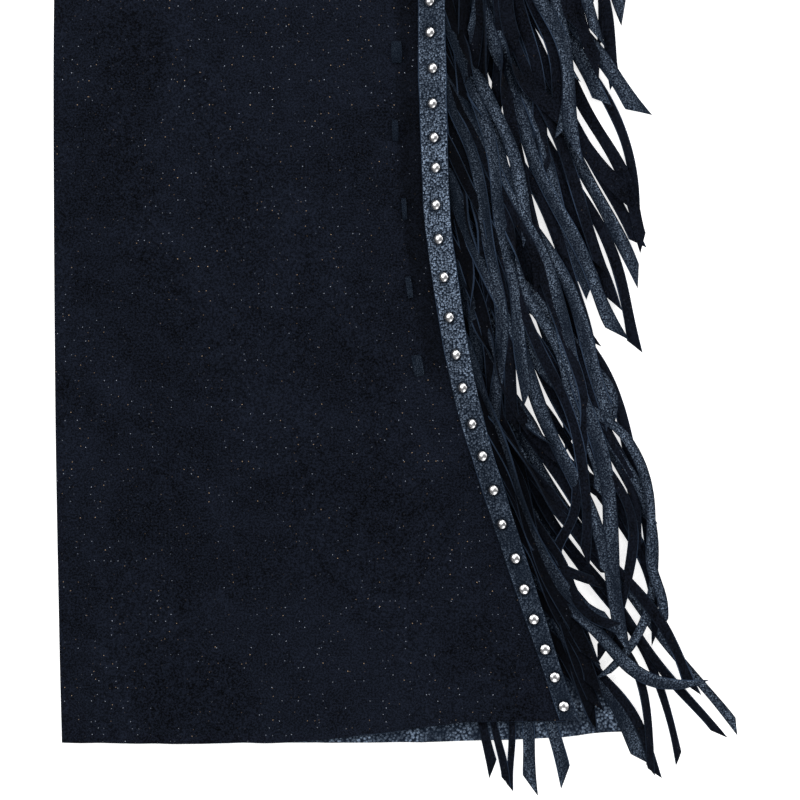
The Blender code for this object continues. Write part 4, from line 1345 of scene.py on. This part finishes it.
class CHAPS_OT_stage(bpy.types.Operator):
    """Make the floor, the soft lights and the camera that looks straight down"""

    bl_idname = "chaps.stage"
    bl_label = "Stage"

    def execute(self, context):
        looks = context.scene.chaps
        context.scene.view_settings.view_transform = "Standard"
        bpy.ops.object.select_all(action="DESELECT")
        bpy.ops.mesh.primitive_plane_add(size=40.0)
        floor = context.object
        floor.name = "floor"
        paper = Finish("floor", "floor", Roughness=0.95, Specular_IOR_Level=0.1)
        fibres = paper.noise(300.0, 2.0)
        colour = paper.mix(fibres, shade(looks.floor_colour, 0.99), looks.floor_colour)
        paper.feed("Base Color", colour)
        paper.shader.inputs["Emission Color"].default_value = (1, 1, 1, 1)
        paper.shader.inputs["Emission Strength"].default_value = 0.7
        floor.data.materials.append(paper.material)

        world = bpy.data.worlds.new("studio")
        world.use_nodes = True
        world.node_tree.nodes["Background"].inputs["Color"].default_value = (1, 1, 1, 1)
        world.node_tree.nodes["Background"].inputs["Strength"].default_value = 0.2
        context.scene.world = world
        for name, spot, size, power in LIGHTS:
            lamp = bpy.data.lights.new(name, "AREA")
            lamp.shape = "SQUARE"
            lamp.size = size
            lamp.energy = power
            light = bpy.data.objects.new(name, lamp)
            light.location = spot
            aim = Vector((0.25, -0.3, 0)) - Vector(spot)
            light.rotation_euler = aim.to_track_quat("-Z", "Y").to_euler()
            context.scene.collection.objects.link(light)

        lens = bpy.data.cameras.new("camera")
        lens.lens = 85.0
        lens.sensor_width = 36.0
        lens.clip_end = 50.0
        camera = bpy.data.objects.new("camera", lens)
        camera.location = (PHOTO_MIDDLE_X, (PHOTO_MIDDLE_UP - GARMENT_MIDDLE_UP) * MM, looks.camera_height)
        context.scene.collection.objects.link(camera)
        context.scene.camera = camera
        return {"FINISHED"}


class CHAPS_OT_panels(bpy.types.Operator):
    """Cut the front and back panels of both legs"""

    bl_idname = "chaps.panels"
    bl_label = "Leg panels"

    def execute(self, context):
        for side, word in SIDES:
            build_front(side, word)
            build_back(side, word)
        return {"FINISHED"}


class CHAPS_OT_strips(bpy.types.Operator):
    """Lay the studded strips down both outseams and set their studs"""

    bl_idname = "chaps.strips"
    bl_label = "Studded strips"

    def execute(self, context):
        pattern = dome_stud()
        for side, word in SIDES:
            build_strip(side, word)
            build_studs(side, word, pattern)
        bpy.data.meshes.remove(pattern)
        return {"FINISHED"}


class CHAPS_OT_fringe(bpy.types.Operator):
    """Hang the layers of cut fringe out from under the strips"""

    bl_idname = "chaps.fringe"
    bl_label = "Fringe"

    def execute(self, context):
        layers = lay_fringe()
        for side, word in SIDES:
            build_fringe(side, word, layers)
        return {"FINISHED"}


class CHAPS_OT_lacing(bpy.types.Operator):
    """Lace the thong stitches beside the strips"""

    bl_idname = "chaps.lacing"
    bl_label = "Lacing"

    def execute(self, context):
        pattern = thong_stitch()
        for side, word in SIDES:
            build_lacing(side, word, pattern)
        bpy.data.meshes.remove(pattern)
        return {"FINISHED"}


class CHAPS_OT_belt(bpy.types.Operator):
    """Put the belt, its buckle and the prong on the panels' tops"""

    bl_idname = "chaps.belt"
    bl_label = "Belt and buckle"

    def execute(self, context):
        build_belt()
        build_buckle()
        return {"FINISHED"}


class CHAPS_PT_panel(bpy.types.Panel):
    """Sidebar list of the garment's pieces and its looks"""

    bl_label = "Chaps"
    bl_idname = "CHAPS_PT_panel"
    bl_space_type = "VIEW_3D"
    bl_region_type = "UI"
    bl_category = "Chaps"

    def draw(self, context):
        for step in STEPS:
            self.layout.operator(step.bl_idname)
        for name in ChapsSettings.__annotations__:
            self.layout.prop(context.scene.chaps, name)


STEPS = (CHAPS_OT_stage, CHAPS_OT_panels, CHAPS_OT_strips, CHAPS_OT_fringe, CHAPS_OT_lacing, CHAPS_OT_belt)
CLASSES = (ChapsSettings, *STEPS, CHAPS_PT_panel)


def register():
    for cls in CLASSES:
        bpy.utils.register_class(cls)
    bpy.types.Scene.chaps = PointerProperty(type=ChapsSettings)


def unregister():
    del bpy.types.Scene.chaps
    for cls in reversed(CLASSES):
        bpy.utils.unregister_class(cls)


def main():
    register()
    bpy.ops.chaps.stage()
    bpy.ops.chaps.panels()
    bpy.ops.chaps.strips()
    bpy.ops.chaps.fringe()
    bpy.ops.chaps.lacing()
    bpy.ops.chaps.belt()


if __name__ == "__main__":
    main()
